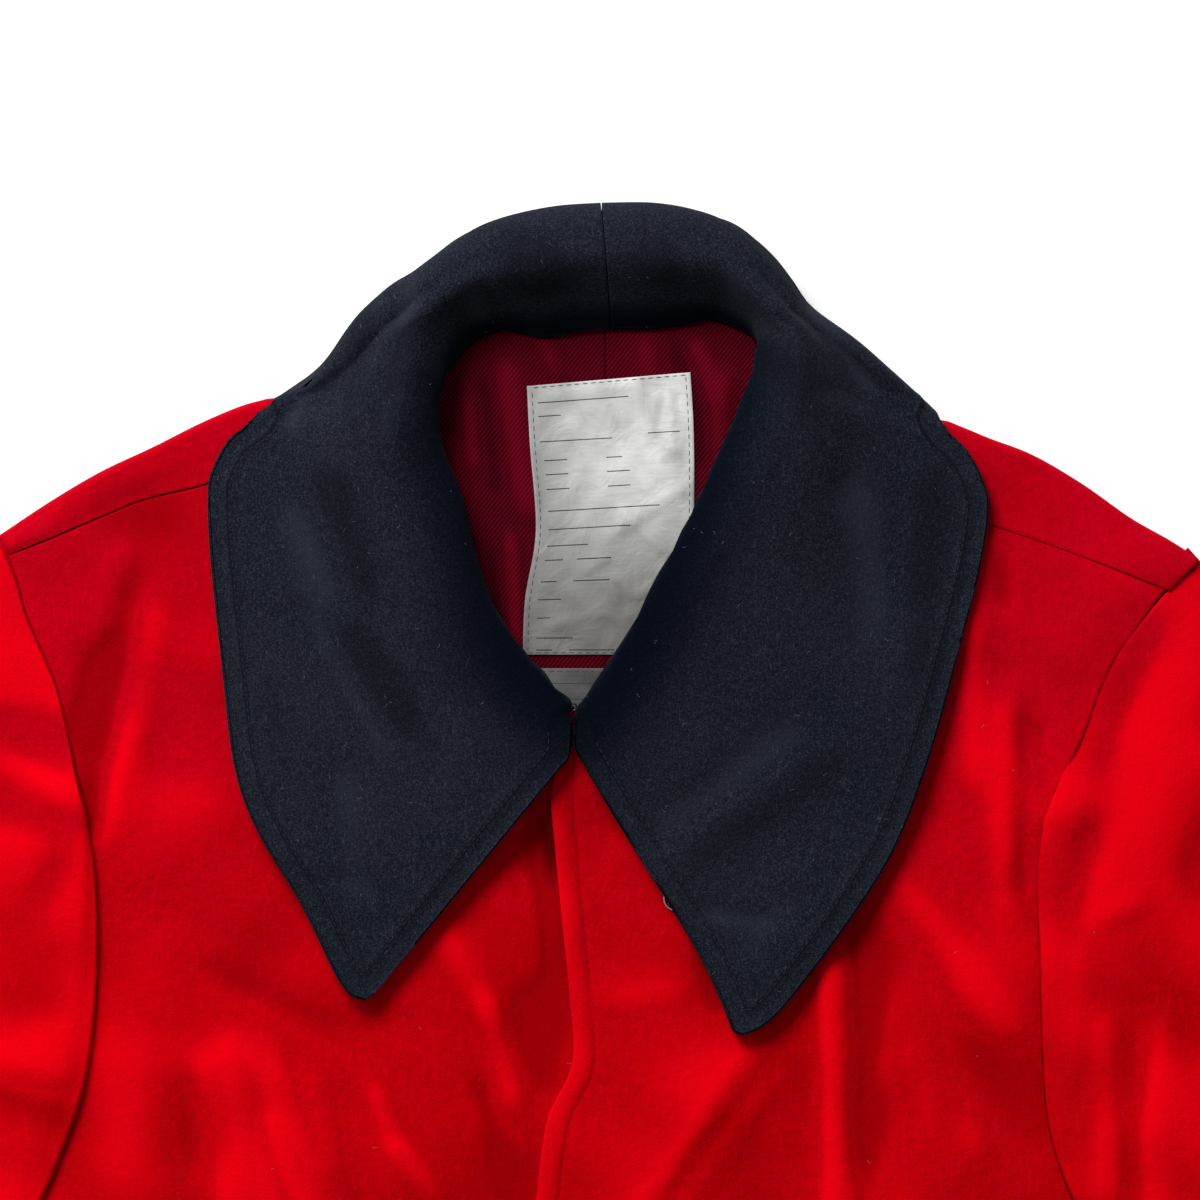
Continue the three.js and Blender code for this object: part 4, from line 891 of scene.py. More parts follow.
def collar_section(row):
    """One section as a curve, from the neck seam over the crest to the leaf's edge.

    With it go the share of its length that is the tail, and the share of the tail that is turned.
    """
    nx, nd, nz, wx, wd, cx, cd, cz, fx, fd, ox, od, under, roll, turn, bow = row
    floor = COLLAR_WALL / 2
    half = (turn - floor) / 2
    arc = (roll + half) / 2 * (math.pi / 2)
    top = math.hypot(fx - cx, fd - cd) - roll
    whole = top + arc + under
    ux, ud = unit(fx - cx, fd - cd)
    run = whole * np.arange(LEAF_STEPS + 1) / LEAF_STEPS
    aside = bow * np.sin(math.pi * (run / whole) ** 2)
    x = cx + ux * run + ud * aside
    d = cd + ud * run - ux * aside
    near_ring = np.exp(-((x - RING_PLACE[0]) ** 2 + (d - RING_PLACE[1]) ** 2) / RING_REACH**2)
    rest = body_top(x, d) + COLLAR_WALL / 2 + COLLAR_CLEAR + RING_LIFT * near_ring
    base = np.full_like(x, turn) if roll > FRONT_ROLL else np.maximum(rest, turn)
    fall = np.exp(-((run / max(top, 1) / FALL_SHARE) ** 2))
    over = np.stack([x, d, base + np.maximum(0, cz - base) * fall], axis=1)
    around = (run - top) / ((roll + half) / 2)
    share = roll * (1 - np.sin(around))
    back_x = np.where(around <= math.pi / 2, -ux, ox)
    back_d = np.where(around <= math.pi / 2, -ud, od)
    height = floor + half * (1 + np.cos(around))
    turned = np.stack([fx + back_x * share, fd + back_d * share, height], axis=1)
    along = roll + (around - math.pi) * roll
    flat = np.stack([fx + ox * along, fd + od * along, np.full_like(along, floor)], axis=1)
    leaf = np.where((run <= top)[:, None], over, np.where((around <= math.pi)[:, None], turned, flat))
    points = np.vstack([[nx, nd, nz], [wx, wd, lerp(nz, cz, WALL_SHARE)], leaf])
    curve = track(points, 8)
    turned_share = (arc + under + 4) / curve.length
    tail = max(0.28, turned_share)
    fold = min(0.4, (4 + arc) / (tail * curve.length)) if turned_share > 0.28 else 0.4
    return curve, tail, fold


HEAD_COLUMNS = 62
TURN_COLUMNS = 14
TURN_SPREAD = 13.6
TAIL_COLUMNS = 34
COLLAR_ROW_STEPS = 8
TIP_RADIUS = 4.8
# The edge stands a little proud, and the stitches draw a channel in: inset, width, height.
EDGE_ROLL = (5, 3, 0.4)
CHANNEL = (STITCH_INSET, 1.6, -0.7)
# The relief fades in over the columns from the neck seam, over these heights above the floor, and within
# this distance of the fastening. The stand of the collar ends between two columns.
RELIEF_COLUMNS = 22
RELIEF_HEIGHTS = (8, 13)
FASTENING_REACH = 40
STAND_COLUMNS = (8, 34)
RIM_BULGE = 0.8
CENTRE_SEAM_BULGE = 0.1


def make_collar(side):
    rows = collar_rows(side)
    count = (len(rows) - 1) * COLLAR_ROW_STEPS
    row_places = np.concatenate([[0, 0.03, 0.06], (len(rows) - 1) * np.arange(1, count + 1) / count])
    lines = []
    tip = None
    for at in row_places:
        curve, tail, fold = collar_section(blend_rows(rows, at))
        # The corner at the front end is rounded off.
        end = curve(1.0)
        tip = end if tip is None else tip
        short = max(0.0, TIP_RADIUS - np.linalg.norm(end - tip))
        cut = (TIP_RADIUS - math.sqrt(TIP_RADIUS**2 - short**2)) / curve.length
        head_shares = (1 - tail) * np.arange(HEAD_COLUMNS) / HEAD_COLUMNS
        turn_shares = fold * np.arange(TURN_COLUMNS) / TURN_SPREAD
        rest = np.arange(TAIL_COLUMNS - TURN_COLUMNS + 1) / (TAIL_COLUMNS - TURN_COLUMNS)
        past = fold + (1 - fold) * (1 - (1 - rest) ** 1.25)
        tail_shares = 1 - tail + tail * np.concatenate([turn_shares, past])
        shares = np.concatenate([head_shares, tail_shares])
        lines.append(curve(shares * (1 - cut * shares**8)))
    points = np.array(lines)
    flat = points.reshape(-1, 3)
    rim = np.vstack([points[0, 10:], points[:, -1][1:]])
    far = edge_distance(flat, rim)
    # Soft creases, a shallow channel along the stitch line, and slow waves, all square to the leaf.
    column = np.tile(np.arange(points.shape[1]), len(points))
    x, d, height = flat.T
    relief = crease_height(COLLAR_CREASES, x, d) + waves(x, d, 0.3)
    away = np.hypot(x - FASTENING[0], d - FASTENING[1])
    relief = relief * ease(0, RELIEF_COLUMNS, column) * ease(*RELIEF_HEIGHTS, height)
    relief = relief * ease(0, FASTENING_REACH, away)
    stand = 1 - ease(*STAND_COLUMNS, column)
    on_seam = np.arange(len(flat)) >= len(flat) - points.shape[1]
    bulge = np.where(on_seam, CENTRE_SEAM_BULGE, RIM_BULGE)
    channel = np.zeros_like(far)
    for inset, width, rise in (EDGE_ROLL, CHANNEL):
        channel = channel + rise * np.exp(-(((far - inset) / width) ** 2))
    channel = channel * ease(*RELIEF_HEIGHTS, height)
    faces = grid_faces(points.shape[0], points.shape[1])
    if side == "right":
        faces = faces[:, ::-1]
    normals = vertex_normals(flat * [1, -1, 1], faces) * [1, -1, 1]
    flat = flat + normals * (relief + channel)[:, None]
    attributes = [("edge_mm", far), ("relief_mm", relief), ("stand", stand)]
    return (flat, faces), attributes, bulge, rim


# Lining at the back neck: a row for each section, with d of its middle, x of both sides.
LINING_ROWS = [
    (6, -63, 72),
    (24, -68, 77),
    (50, -74, 76),
    (85, -68, 64),
    (115, -58, 50),
    (145, -44, 34),
    (178, -24, 16),
]
LINING_STEPS = 100
NARROW_END = (-7, 168, 9, 1.5)
CENTRE_SEAM_X = 7.5
LINING_CREASES = [
    (-36, 14, -26, 78, 6, 2.0),
    (-46, 20, -40, 70, 5, -0.8),
    (-52, 30, -50, 60, 4, 1.4),
    (-34, 90, -31, 140, 4, 1.8),
    (-42, 96, -38, 130, 4, -0.8),
    (-20, 2, -14, 18, 5, 1.2),
    (24, 4, 28, 20, 5, 1.2),
    (46, 4, 60, 34, 5, 1.8),
    (38, 4, 52, 60, 6, -0.9),
    (60, 20, 56, 66, 5, 1.4),
]


def neck_seam_at(x):
    line = np.array(BACK_NECK_SEAM)
    return np.interp(x, line[:, 0], line[:, 1])


def lining_middle(x, d):
    relief = crease_height(LINING_CREASES, x, d)
    return back_middle(x, d) + MELTON / 2 + LAY_GAP + LINING_WALL / 2 + np.maximum(relief, -0.3)


def make_lining():
    rows = []
    across = np.arange(LINING_STEPS + 1) / LINING_STEPS
    for down in across:
        d, right, left = blend_rows(LINING_ROWS, down * (len(LINING_ROWS) - 1))
        x = lerp(right, left, across)
        place = lerp(d, neck_seam_at(x) - 0.8, (1 - down) ** 6)
        rows.append(np.column_stack([x, place, lining_middle(x, place)]))
    rows = np.array(rows)
    points = rows.reshape(-1, 3)
    relief = crease_height(LINING_CREASES, points[:, 0], points[:, 1])
    # Painted shade darkens the narrow end, where the fronts of the collar meet.
    dark_x, dark_d, reach, shade = NARROW_END
    away = np.hypot(points[:, 0] - dark_x, points[:, 1] - dark_d)
    relief = relief - shade * np.exp(-((away / reach) ** 2))
    attributes = [("relief_mm", relief), ("seam_mm", points[:, 0] - CENTRE_SEAM_X)]
    return (points, grid_faces(*rows.shape[:2])), attributes


# Labels: a row for each section, with x and d of both sides.
LABEL_ROWS = {
    "main": [(-26.8, 24.6, 45, 18.5), (-25.5, 50, 46.5, 46), (-22.9, 88, 46.5, 84), (-27.6, 118, 44.5, 116),
             (-28.6, 142.6, 43.5, 142.6)],
    "care": [(-23.5, 148.5, 44, 148.5), (-22, 158, 36, 158), (-18, 166, 24, 166)],
}
LABEL_COLUMNS = 60
LABEL_STEPS = {"main": 96, "care": 30}
# Crumples of the satin, in the same columns as the creases.
LABEL_CREASES = [
    (-20, 30, 20, 24, 3, 0.5),
    (-18, 60, 30, 74, 3, -0.4),
    (30, 40, 44, 60, 3, 0.6),
    (10, 90, 40, 70, 3.5, 0.9),
    (14, 78, 34, 98, 2.5, 0.8),
    (4, 98, 18, 116, 2.5, 0.6),
    (24, 100, 38, 122, 3, -0.5),
    (0, 110, 26, 96, 3, -0.5),
    (20, 118, 40, 104, 3, 0.6),
    (-22, 96, -8, 118, 3, 0.5),
    (-20, 132, 6, 124, 3.5, 0.6),
    (8, 138, 20, 122, 3, 0.25),
    (36, 26, 38, 64, 2.5, 0.5),
]


def label_middle(x, d):
    ripples = 0.12 * np.sin(x / 2.7 + d / 4.1) + 0.1 * np.sin(d / 2.3 - x / 5)
    relief = crease_height(LABEL_CREASES, x, d) + ripples
    return lining_middle(x, d) + LINING_WALL / 2 + SEAM_GAP + LABEL_WALL / 2 + np.maximum(relief, -0.2)


def make_label(which):
    rows = LABEL_ROWS[which]
    across = (np.arange(LABEL_COLUMNS + 1) / LABEL_COLUMNS)[:, None]
    lines = []
    count = LABEL_STEPS[which]
    for down in np.arange(count + 1) / count:
        x0, d0, x1, d1 = blend_rows(rows, down * (len(rows) - 1))
        plan = lerp(np.array([x0, d0]), np.array([x1, d1]), across)
        lines.append(np.column_stack([plan, label_middle(plan[:, 0], plan[:, 1])]))
    points = np.array(lines)
    return points, grid_faces(*points.shape[:2])


# Materials. Each has its own function, with all patterns worked out from the object's own coordinates.
def rgb(red, green, blue):
    """A linear colour from the 0 to 255 values of a screen."""
    shares = (value / 255 for value in (red, green, blue))
    return tuple(((v + 0.055) / 1.055) ** 2.4 if v > 0.04 else v / 12.92 for v in shares) + (1,)


class Nodes:
    """A material's nodes, with short calls to add and join them."""

    def __init__(self, name):
        self.material = bpy.data.materials.new(name)
        self.material.use_nodes = True
        self.tree = self.material.node_tree
        self.shader = self.tree.nodes["Principled BSDF"]
        self.place = self.add("ShaderNodeTexCoord").outputs["Object"]

    def add(self, kind, inputs=None, **settings):
        node = self.tree.nodes.new(kind)
        for key, value in settings.items():
            setattr(node, key, value)
        for key, value in (inputs or {}).items():
            self.put(node.inputs[key], value)
        return node

    def put(self, socket, value):
        if isinstance(value, bpy.types.NodeSocket):
            self.tree.links.new(value, socket)
        else:
            socket.default_value = value

    def math(self, operation, a, b=0.0):
        return self.add("ShaderNodeMath", {0: a, 1: b}, operation=operation).outputs[0]

    def axis(self, name):
        """Metres along one axis of the object."""
        return self.add("ShaderNodeSeparateXYZ", {"Vector": self.place}).outputs[name]

    def turned(self, degrees, stretch=(1, 1, 1)):
        turn = (0, 0, math.radians(degrees))
        node = self.add("ShaderNodeMapping", {"Vector": self.place, "Rotation": turn, "Scale": stretch})
        return node.outputs["Vector"]

    def attribute(self, name):
        return self.add("ShaderNodeAttribute", attribute_name=name).outputs["Fac"]

    def noise(self, scale, detail=3.0, roughness=0.5, distortion=0.0, place=None):
        """Noise with its scale in lumps per metre."""
        inputs = {"Vector": place or self.place, "Scale": scale, "Detail": detail}
        inputs |= {"Roughness": roughness, "Distortion": distortion}
        return self.add("ShaderNodeTexNoise", inputs).outputs["Fac"]

    def ramp(self, value, low, high, to_low=0.0, to_high=1.0):
        inputs = {"Value": value, "From Min": low, "From Max": high, "To Min": to_low, "To Max": to_high}
        return self.add("ShaderNodeMapRange", inputs, interpolation_type="SMOOTHSTEP").outputs["Result"]

    def mix(self, share, a, b):
        node = self.add("ShaderNodeMix", data_type="RGBA")
        for socket, value in (("Factor", share), (6, a), (7, b)):
            self.put(node.inputs[socket], value)
        return node.outputs[2]

    def two_tones(self, value, low, high, colour, other):
        return self.mix(self.ramp(value, low, high), rgb(*colour), rgb(*other))

    def tint(self, tone, value, low, high, share, colour):
        """The tone, turned towards a colour by up to that share as the value goes from low to high."""
        return self.mix(self.math("MULTIPLY", self.ramp(value, low, high), share), tone, rgb(*colour))

    def bump(self, height, distance, strength=1.0, under=None):
        inputs = {"Height": height, "Distance": distance, "Strength": strength}
        if under is not None:
            inputs["Normal"] = under
        return self.add("ShaderNodeBump", inputs).outputs["Normal"]

    def finish(self, tone, **settings):
        """Fills the shader's sockets, named as in Blender but with _ for each space."""
        self.put(self.shader.inputs["Base Color"], tone)
        for key, value in settings.items():
            self.put(self.shader.inputs[key.replace("_", " ")], value)
        return self.material


def red_melton():
    m = Nodes("red_melton")
    broad = m.noise(9, 4, 0.55)
    mottled = m.noise(260, 4, 0.6)
    fuzz = m.noise(1300, 3, 0.75)
    nap = m.noise(420, 3, 0.6, 0.8, m.turned(-78, (1, 0.28, 1)))
    # The red is cooler over the shoulders and warmer towards the skirt.
    cool = m.two_tones(broad, 0.35, 0.65, (162, 0, 17), (175, 0, 25))
    warm = m.two_tones(broad, 0.35, 0.65, (162, 0, 4), (176, 0, 8))
    tone = m.mix(m.ramp(m.axis("Y"), 0.3, 0.56), warm, cool)
    tone = m.tint(tone, mottled, 0.35, 0.7, 0.4, (146, 0, 8))
    tone = m.tint(tone, nap, 0.5, 0.75, 0.4, (196, 1, 26))
    tone = m.tint(tone, fuzz, 0.42, 0.62, 0.35, (136, 0, 8))
    # The tone is painted lighter on the folds as a highlight, and darker in the hollows and along a pressed
    # seam as shade.
    relief = m.attribute("relief_mm")
    tone = m.tint(tone, relief, 0.3, 3.6, 0.7, (214, 0, 14))
    tone = m.tint(tone, relief, -0.2, -2.2, 0.7, (126, 0, 4))
    tone = m.tint(tone, relief, -3.2, -6.0, 0.9, (44, 0, 2))
    normal = m.bump(mottled, 0.0007, 0.6)
    normal = m.bump(nap, 0.0003, 0.6, normal)
    return m.finish(
        tone,
        Roughness=0.9,
        Specular_IOR_Level=0.1,
        Specular_Tint=(1, 0.02, 0.05, 1),
        Sheen_Weight=0.08,
        Sheen_Roughness=0.4,
        Sheen_Tint=(1, 0.0, 0.04, 1),
        Normal=m.bump(fuzz, 0.0003, 0.8, normal),
    )


def stitch_line(m, from_edge, inset, width):
    """1 along the line that lies inset from the edge, falling to 0 beside it."""
    apart = m.math("ABSOLUTE", m.math("SUBTRACT", from_edge, inset))
    return m.math("SUBTRACT", 1.0, m.ramp(apart, width * 0.3, width))


def navy_felt():
    m = Nodes("navy_felt")
    broad = m.noise(14, 3, 0.5)
    mottled = m.noise(300, 4, 0.62)
    fibres = m.noise(520, 3, 0.7, 2.5, m.turned(35, (1, 0.2, 1)))
    crossed = m.noise(560, 3, 0.7, 2.5, m.turned(-40, (1, 0.2, 1)))
    fine = m.noise(1250, 3, 0.8)
    tone = m.two_tones(broad, 0.35, 0.65, (17, 21, 30), (23, 26, 35))
    tone = m.tint(tone, mottled, 0.4, 0.7, 0.5, (12, 15, 23))
    tone = m.tint(tone, fine, 0.5, 0.66, 0.72, (46, 50, 58))
    tone = m.tint(tone, fine, 0.5, 0.36, 0.72, (6, 8, 13))
    tone = m.tint(tone, fibres, 0.58, 0.72, 0.5, (54, 58, 68))
    tone = m.tint(tone, crossed, 0.58, 0.72, 0.5, (50, 54, 62))
    line = stitch_line(m, m.attribute("edge_mm"), STITCH_INSET, 1.0)
    tone = m.mix(m.math("MULTIPLY", line, 0.65), tone, rgb(8, 10, 15))
    # Painted highlight on the ridges of the relief, and painted shade in its hollows.
    relief = m.attribute("relief_mm")
    tone = m.tint(tone, relief, 0.2, 2.0, 0.45, (42, 46, 56))
    tone = m.tint(tone, relief, -0.2, -1.7, 0.5, (9, 11, 17))
    # The stand, inside the neck, is painted dark as shade.
    tone = m.mix(m.math("MULTIPLY", m.attribute("stand"), 0.94), tone, rgb(0, 3, 13))
    normal = m.bump(mottled, 0.0007, 0.6)
    normal = m.bump(fibres, 0.0004, 0.6, normal)
    return m.finish(
        tone,
        Roughness=0.95,
        Specular_IOR_Level=0.03,
        Sheen_Weight=0.02,
        Sheen_Roughness=0.5,
        Sheen_Tint=(0.7, 0.75, 0.9, 1),
        Normal=m.bump(fine, 0.0003, 0.7, normal),
    )


def lining_twill():
    m = Nodes("lining_twill")
    ribs = {"Vector": m.turned(38), "Scale": 210.0, "Distortion": 0.6, "Detail": 1.0, "Detail Scale": 2.0}
    rib = m.add("ShaderNodeTexWave", ribs, bands_direction="X").outputs["Fac"]
    thread = m.noise(1400, 2, 0.6, 0.0, m.turned(38, (1, 3, 1)))
    slow = m.noise(22, 3, 0.5)
    tone = m.two_tones(rib, 0.2, 0.85, (34, 1, 8), (80, 2, 17))
    tone = m.tint(tone, slow, 0.4, 0.7, 0.3, (84, 2, 18))
    tone = m.tint(tone, thread, 0.5, 0.7, 0.3, (26, 0, 6))
    # Painted highlight on the ridges of the creases, and painted shade in their hollows and in the narrow
    # end.
    relief = m.attribute("relief_mm")
    tone = m.tint(tone, relief, 0.2, 1.8, 0.5, (96, 3, 22))
    tone = m.tint(tone, relief, -0.1, -0.8, 0.6, (26, 0, 6))
    seam = stitch_line(m, m.attribute("seam_mm"), 0.0, 0.7)
    tone = m.mix(m.math("MULTIPLY", seam, 0.8), tone, rgb(18, 0, 4))
    return m.finish(
        tone,
        Roughness=0.6,
        Specular_IOR_Level=0.12,
        Specular_Tint=(1, 0.06, 0.12, 1),
        Normal=m.bump(thread, 0.0001, 0.4, m.bump(rib, 0.0003, 0.7)),
    )


def label_satin():
    m = Nodes("label_satin")
    weft = m.noise(900, 2, 0.6, 0.0, m.turned(2, (0.12, 1, 1)))
    crumple = m.noise(70, 3, 0.55, 1.2)
    creased = m.noise(62, 3, 0.5, 0.7, m.turned(-30, (1, 0.6, 1)))
    tone = m.two_tones(m.noise(25, 2, 0.5), 0.35, 0.65, (176, 177, 174), (196, 197, 193))
    tone = m.tint(tone, weft, 0.45, 0.7, 0.3, (160, 160, 158))
    # Painted highlight and painted shade along the crumples of the satin.
    tone = m.tint(tone, creased, 0.5, 0.78, 0.5, (214, 215, 211))
    tone = m.tint(tone, creased, 0.46, 0.24, 0.4, (112, 111, 110))
    # Painted shade darkens it towards its lower end and its right side, where the collar shadows it.
    down = m.axis("Y")
    tone = m.tint(tone, down, 0.58, 0.49, 0.86, (80, 78, 76))
    tone = m.tint(tone, down, 0.482, 0.47, 0.85, (58, 57, 58))
    tone = m.tint(tone, m.axis("X"), 0.004, -0.024, 0.55, (112, 111, 110))
    normal = m.bump(crumple, 0.0012, 0.6)
    normal = m.bump(creased, 0.0006, 0.5, normal)
    return m.finish(
        tone,
        Roughness=0.5,
        Specular_IOR_Level=0.25,
        Anisotropic=0.4,
        Normal=m.bump(weft, 0.00012, 0.5, normal),
    )


def dimmed(colour, share):
    return tuple(v * share for v in colour[:3]) + (1,)


def thread_cloth(name, colour, roughness=0.7, gloss=0.3):
    """Sewing thread, with the twist of its plies."""
    m = Nodes(name)
    plies = {"Vector": m.turned(55), "Scale": 700.0, "Distortion": 0.3}
    twist = m.add("ShaderNodeTexWave", plies).outputs["Fac"]
    return m.finish(
        m.mix(twist, dimmed(colour, 0.7), colour),
        Roughness=roughness,
        Specular_IOR_Level=gloss,
        Normal=m.bump(twist, 0.0001, 0.4),
    )


def wire_metal(name, colour, roughness, metallic):
    m = Nodes(name)
    drawn = m.noise(1600, 3, 0.6)
    return m.finish(
        m.mix(m.ramp(drawn, 0.3, 0.7), dimmed(colour, 0.8), colour),
        Metallic=metallic,
        Roughness=m.ramp(drawn, 0.2, 0.8, roughness * 0.8, roughness * 1.3),
        Normal=m.bump(drawn, 0.00005, 0.3),
    )


RED = red_melton()
NAVY = navy_felt()
TWILL = lining_twill()
SATIN = label_satin()
NAVY_THREAD = thread_cloth("navy_thread", rgb(22, 24, 32))
RED_THREAD = thread_cloth("red_thread", rgb(148, 0, 10), 0.9, 0.03)
GREY_THREAD = thread_cloth("grey_thread", rgb(78, 76, 78))
LINT_HAIR = thread_cloth("lint_hair", rgb(128, 134, 148), 0.9)
PRINT = thread_cloth("label_print", rgb(22, 22, 26), 0.8)
WIRE = wire_metal("white_wire", rgb(214, 216, 220), 0.22, 1.0)
BLACK_WIRE = wire_metal("black_wire", rgb(26, 27, 31), 0.35, 0.6)

# The garment's pieces. Each replaces the plain solid of the same part.
cloth = {}


def lay(node, shape, wall, material, slot_name, **extras):
    cloth[node] = shell(f"{node}_cloth", *shape, wall, material, slot_name, **extras)
    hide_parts(node)


lay("back", make_back(), MELTON, RED, "red_melton")
rims = {}
for side in ("right", "left"):
    for node, make in ((f"front_{side}", make_front), (f"sleeve_{side}", make_sleeve)):
        points, faces, relief = make(side)
        lay(node, (points, faces), MELTON, RED, "red_melton", attributes=[("relief_mm", relief)])
    shape, layers, bulge, rims[side] = make_collar(side)
    lay(f"collar_{side}", shape, COLLAR_WALL, NAVY, "navy_felt", bulge=bulge, attributes=layers)
shape, layers = make_lining()
lay("neck_lining", shape, LINING_WALL, TWILL, "lining_twill", attributes=layers)
for which in ("main", "care"):
    points, faces = make_label(which)
    lay(f"label_{which}", (points.reshape(-1, 3), faces), LABEL_WALL, SATIN, "label_satin")
for node, material in (("wire_ring", WIRE), ("neck_eye", BLACK_WIRE), ("neck_hook", BLACK_WIRE)):
    bpy.data.objects[node].data.materials.clear()
    bpy.data.objects[node].data.materials.append(material)


# Turnings of the armhole seams: narrow strips inside, which close the seam when it is seen from above.
TURNING = 7
TURNING_WALL = 1
TURNING_STEPS = 90
TURNING_STRIPS = 7
turning = {}
for side in ("right", "left"):
    at = np.arange(TURNING_STEPS + 1) / TURNING_STEPS * (STATIONS[side][LAP_STATION] + 0.02)
    line = armhole[side](at)
    way = directions(np.gradient(line, axis=0))
    out = np.stack([-way[:, 1], way[:, 0]], axis=1)
    strips = []
    for across in np.linspace(-TURNING, TURNING, TURNING_STRIPS):
        plan = line + out * across
        strips.append(np.column_stack([plan, back_middle(plan[:, 0], plan[:, 1]) + FOLD_RADIUS]))
    strips = np.array(strips)
    strip_faces = grid_faces(*strips.shape[:2])
    turning[side] = shell(
        f"armhole_turning_{side}", strips.reshape(-1, 3), strip_faces, TURNING_WALL, RED, "red_melton"
    )


# Sewing: each stitch is a short rounded rod, half sunk into the cloth below it.
on_piece = {}


# Rings of a rod: share of its length, and share of its radius.
ROD_RINGS = [(0.0, 0.35), (0.12, 0.85), (0.5, 1.0), (0.88, 0.85), (1.0, 0.35)]
ROD_SIDES = 6


def rods(name, starts, ends, radius, material):
    starts = np.asarray(starts)
    way = np.asarray(ends) - starts
    length = np.linalg.norm(way, axis=1)[:, None]
    way = way / length
    side_way = np.cross(way, [0, 0, 1.0])
    side_way = side_way / np.maximum(np.linalg.norm(side_way, axis=1), 1e-9)[:, None]
    up = np.cross(side_way, way)
    rings = []
    for along, width in ROD_RINGS:
        centre = starts + way * length * along
        for k in range(ROD_SIDES):
            turn = 2 * math.pi * k / ROD_SIDES
            rings.append(centre + radius * width * (side_way * math.cos(turn) + up * math.sin(turn)))
    verts = np.array(rings).transpose(1, 0, 2).reshape(-1, 3)
    count = len(ROD_RINGS) * ROD_SIDES
    index = np.arange(count).reshape(-1, ROD_SIDES)
    side_faces = quads(np.hstack([index, index[:, :1]]))[:, [0, 3, 2, 1]]
    start_faces = [(3, 2, 1, 0), (0, 5, 4, 3)]
    end_faces = index[-1, [[0, 1, 2, 3], [3, 4, 5, 0]]]
    one = np.vstack([side_faces, start_faces, end_faces])
    polygons = (one[None, :, :] + (np.arange(len(starts)) * count)[:, None, None]).reshape(-1, 4)
    return make_mesh(name, verts, polygons, material)


def top_of(node):
    """Finds the top of a piece below a place in the plan, in millimetres."""
    mesh = cloth[node].data
    corners = np.empty(len(mesh.vertices) * 3)
    mesh.vertices.foreach_get("co", corners)
    tree = BVHTree.FromPolygons(
        (corners.reshape(-1, 3) * 1000).tolist(), [tuple(p.vertices) for p in mesh.polygons]
    )

    def find(x, y):
        hit = tree.ray_cast(Vector((x, y, 200)), Vector((0, 0, -1)))
        return hit[0]

    return find


def even_line(points, pitch):
    run = running_length(points)
    at = np.arange(pitch / 2, run[-1], pitch)
    return np.stack([np.interp(at, run, points[:, k]) for k in range(points.shape[1])], axis=1)


def inset_line(rim, inset, sign):
    """The line at that distance inside a rim of the plan, with its corners rounded."""
    rim = even_line(rim, 0.5)
    way = directions(np.gradient(rim, axis=0))
    inner = rim + np.stack([-way[:, 1], way[:, 0]], axis=1) * inset * sign
    inner = inner[edge_distance(inner, rim) > inset - 0.25]
    weights = np.ones(9) / 9
    ends = np.pad(inner, ((4, 4), (0, 0)), mode="edge")
    return np.stack([np.convolve(ends[:, k], weights, "valid") for k in range(2)], axis=1)


def sew(name, node, line, stitch, material, sink=0.0):
    """A row of stitches along a line of the plan, sunk that far into the piece below it."""
    pitch, length, radius = stitch
    find = top_of(node)
    starts = []
    ends = []
    middles = even_line(line, pitch)
    ways = directions(np.gradient(middles, axis=0))
    for middle, way in zip(middles, ways):
        a = find(*(middle - way * length / 2))
        b = find(*(middle + way * length / 2))
        if a is not None and b is not None and abs(a.z - b.z) < length:
            starts.append((a.x, a.y, a.z - sink))
            ends.append((b.x, b.y, b.z - sink))
    on_piece.setdefault(node, []).append(rods(name, starts, ends, radius, material))


# Pitch, length and radius of stitches and of the short pieces that make up a printed line.
TOPSTITCH = (3.2, 2.4, 0.24)
LABEL_STITCH = (3.6, 2.2, 0.2)
RULE = (1.0, 1.08, 0.36)
CARE_RULE = (1.0, 1.08, 0.22)
for side in ("right", "left"):
    rim = rims[side][:, :2] * [1, -1] + [0, NECK_Y]
    visible = rims[side][:, 2] > MELTON + COLLAR_WALL
    line = inset_line(rim[visible], STITCH_INSET, 1 if side == "left" else -1)
    sew(f"collar_stitches_{side}", f"collar_{side}", line, TOPSTITCH, NAVY_THREAD, 0.1)

last_row = len(FRONT_ROWS["left"]) - 1
edge_rows = np.concatenate([np.arange(7, last_row, 0.1), last_row + np.arange(0, 10.9, 0.1)])
edge = np.array([front_plan("left", np.array([0.0]), row)[0] for row in edge_rows])
line = inset_line(edge * [1, -1] + [0, NECK_Y], STITCH_INSET, 1)
sew("front_stitches", "front_left", line, TOPSTITCH, RED_THREAD, 0.12)

# Sewing and ruled lines of the labels
def label_point(which, across, down):
    x0, d0, x1, d1 = blend_rows(LABEL_ROWS[which], down * (len(LABEL_ROWS[which]) - 1))
    return lerp(x0, x1, across), NECK_Y - lerp(d0, d1, across)


def label_line(which, a, b):
    shares = np.arange(LABEL_LINE_STEPS + 1) / LABEL_LINE_STEPS
    return np.array([label_point(which, *lerp(np.array(a), np.array(b), share)) for share in shares])


LABEL_LINE_STEPS = 24
SIDE_INSET = 0.03
END_INSET = {"main": 0.018, "care": 0.1}
for which in ("main", "care"):
    start = (SIDE_INSET, END_INSET[which])
    end = (1 - SIDE_INSET, 1 - END_INSET[which])
    corners = [start, (end[0], start[1]), end, (start[0], end[1]), start]
    if which == "care":
        corners = corners[:2]
    for k, (a, b) in enumerate(zip(corners[:-1], corners[1:])):
        name = f"label_{which}_stitches_{k}"
        sew(name, f"label_{which}", label_line(which, a, b), LABEL_STITCH, GREY_THREAD)
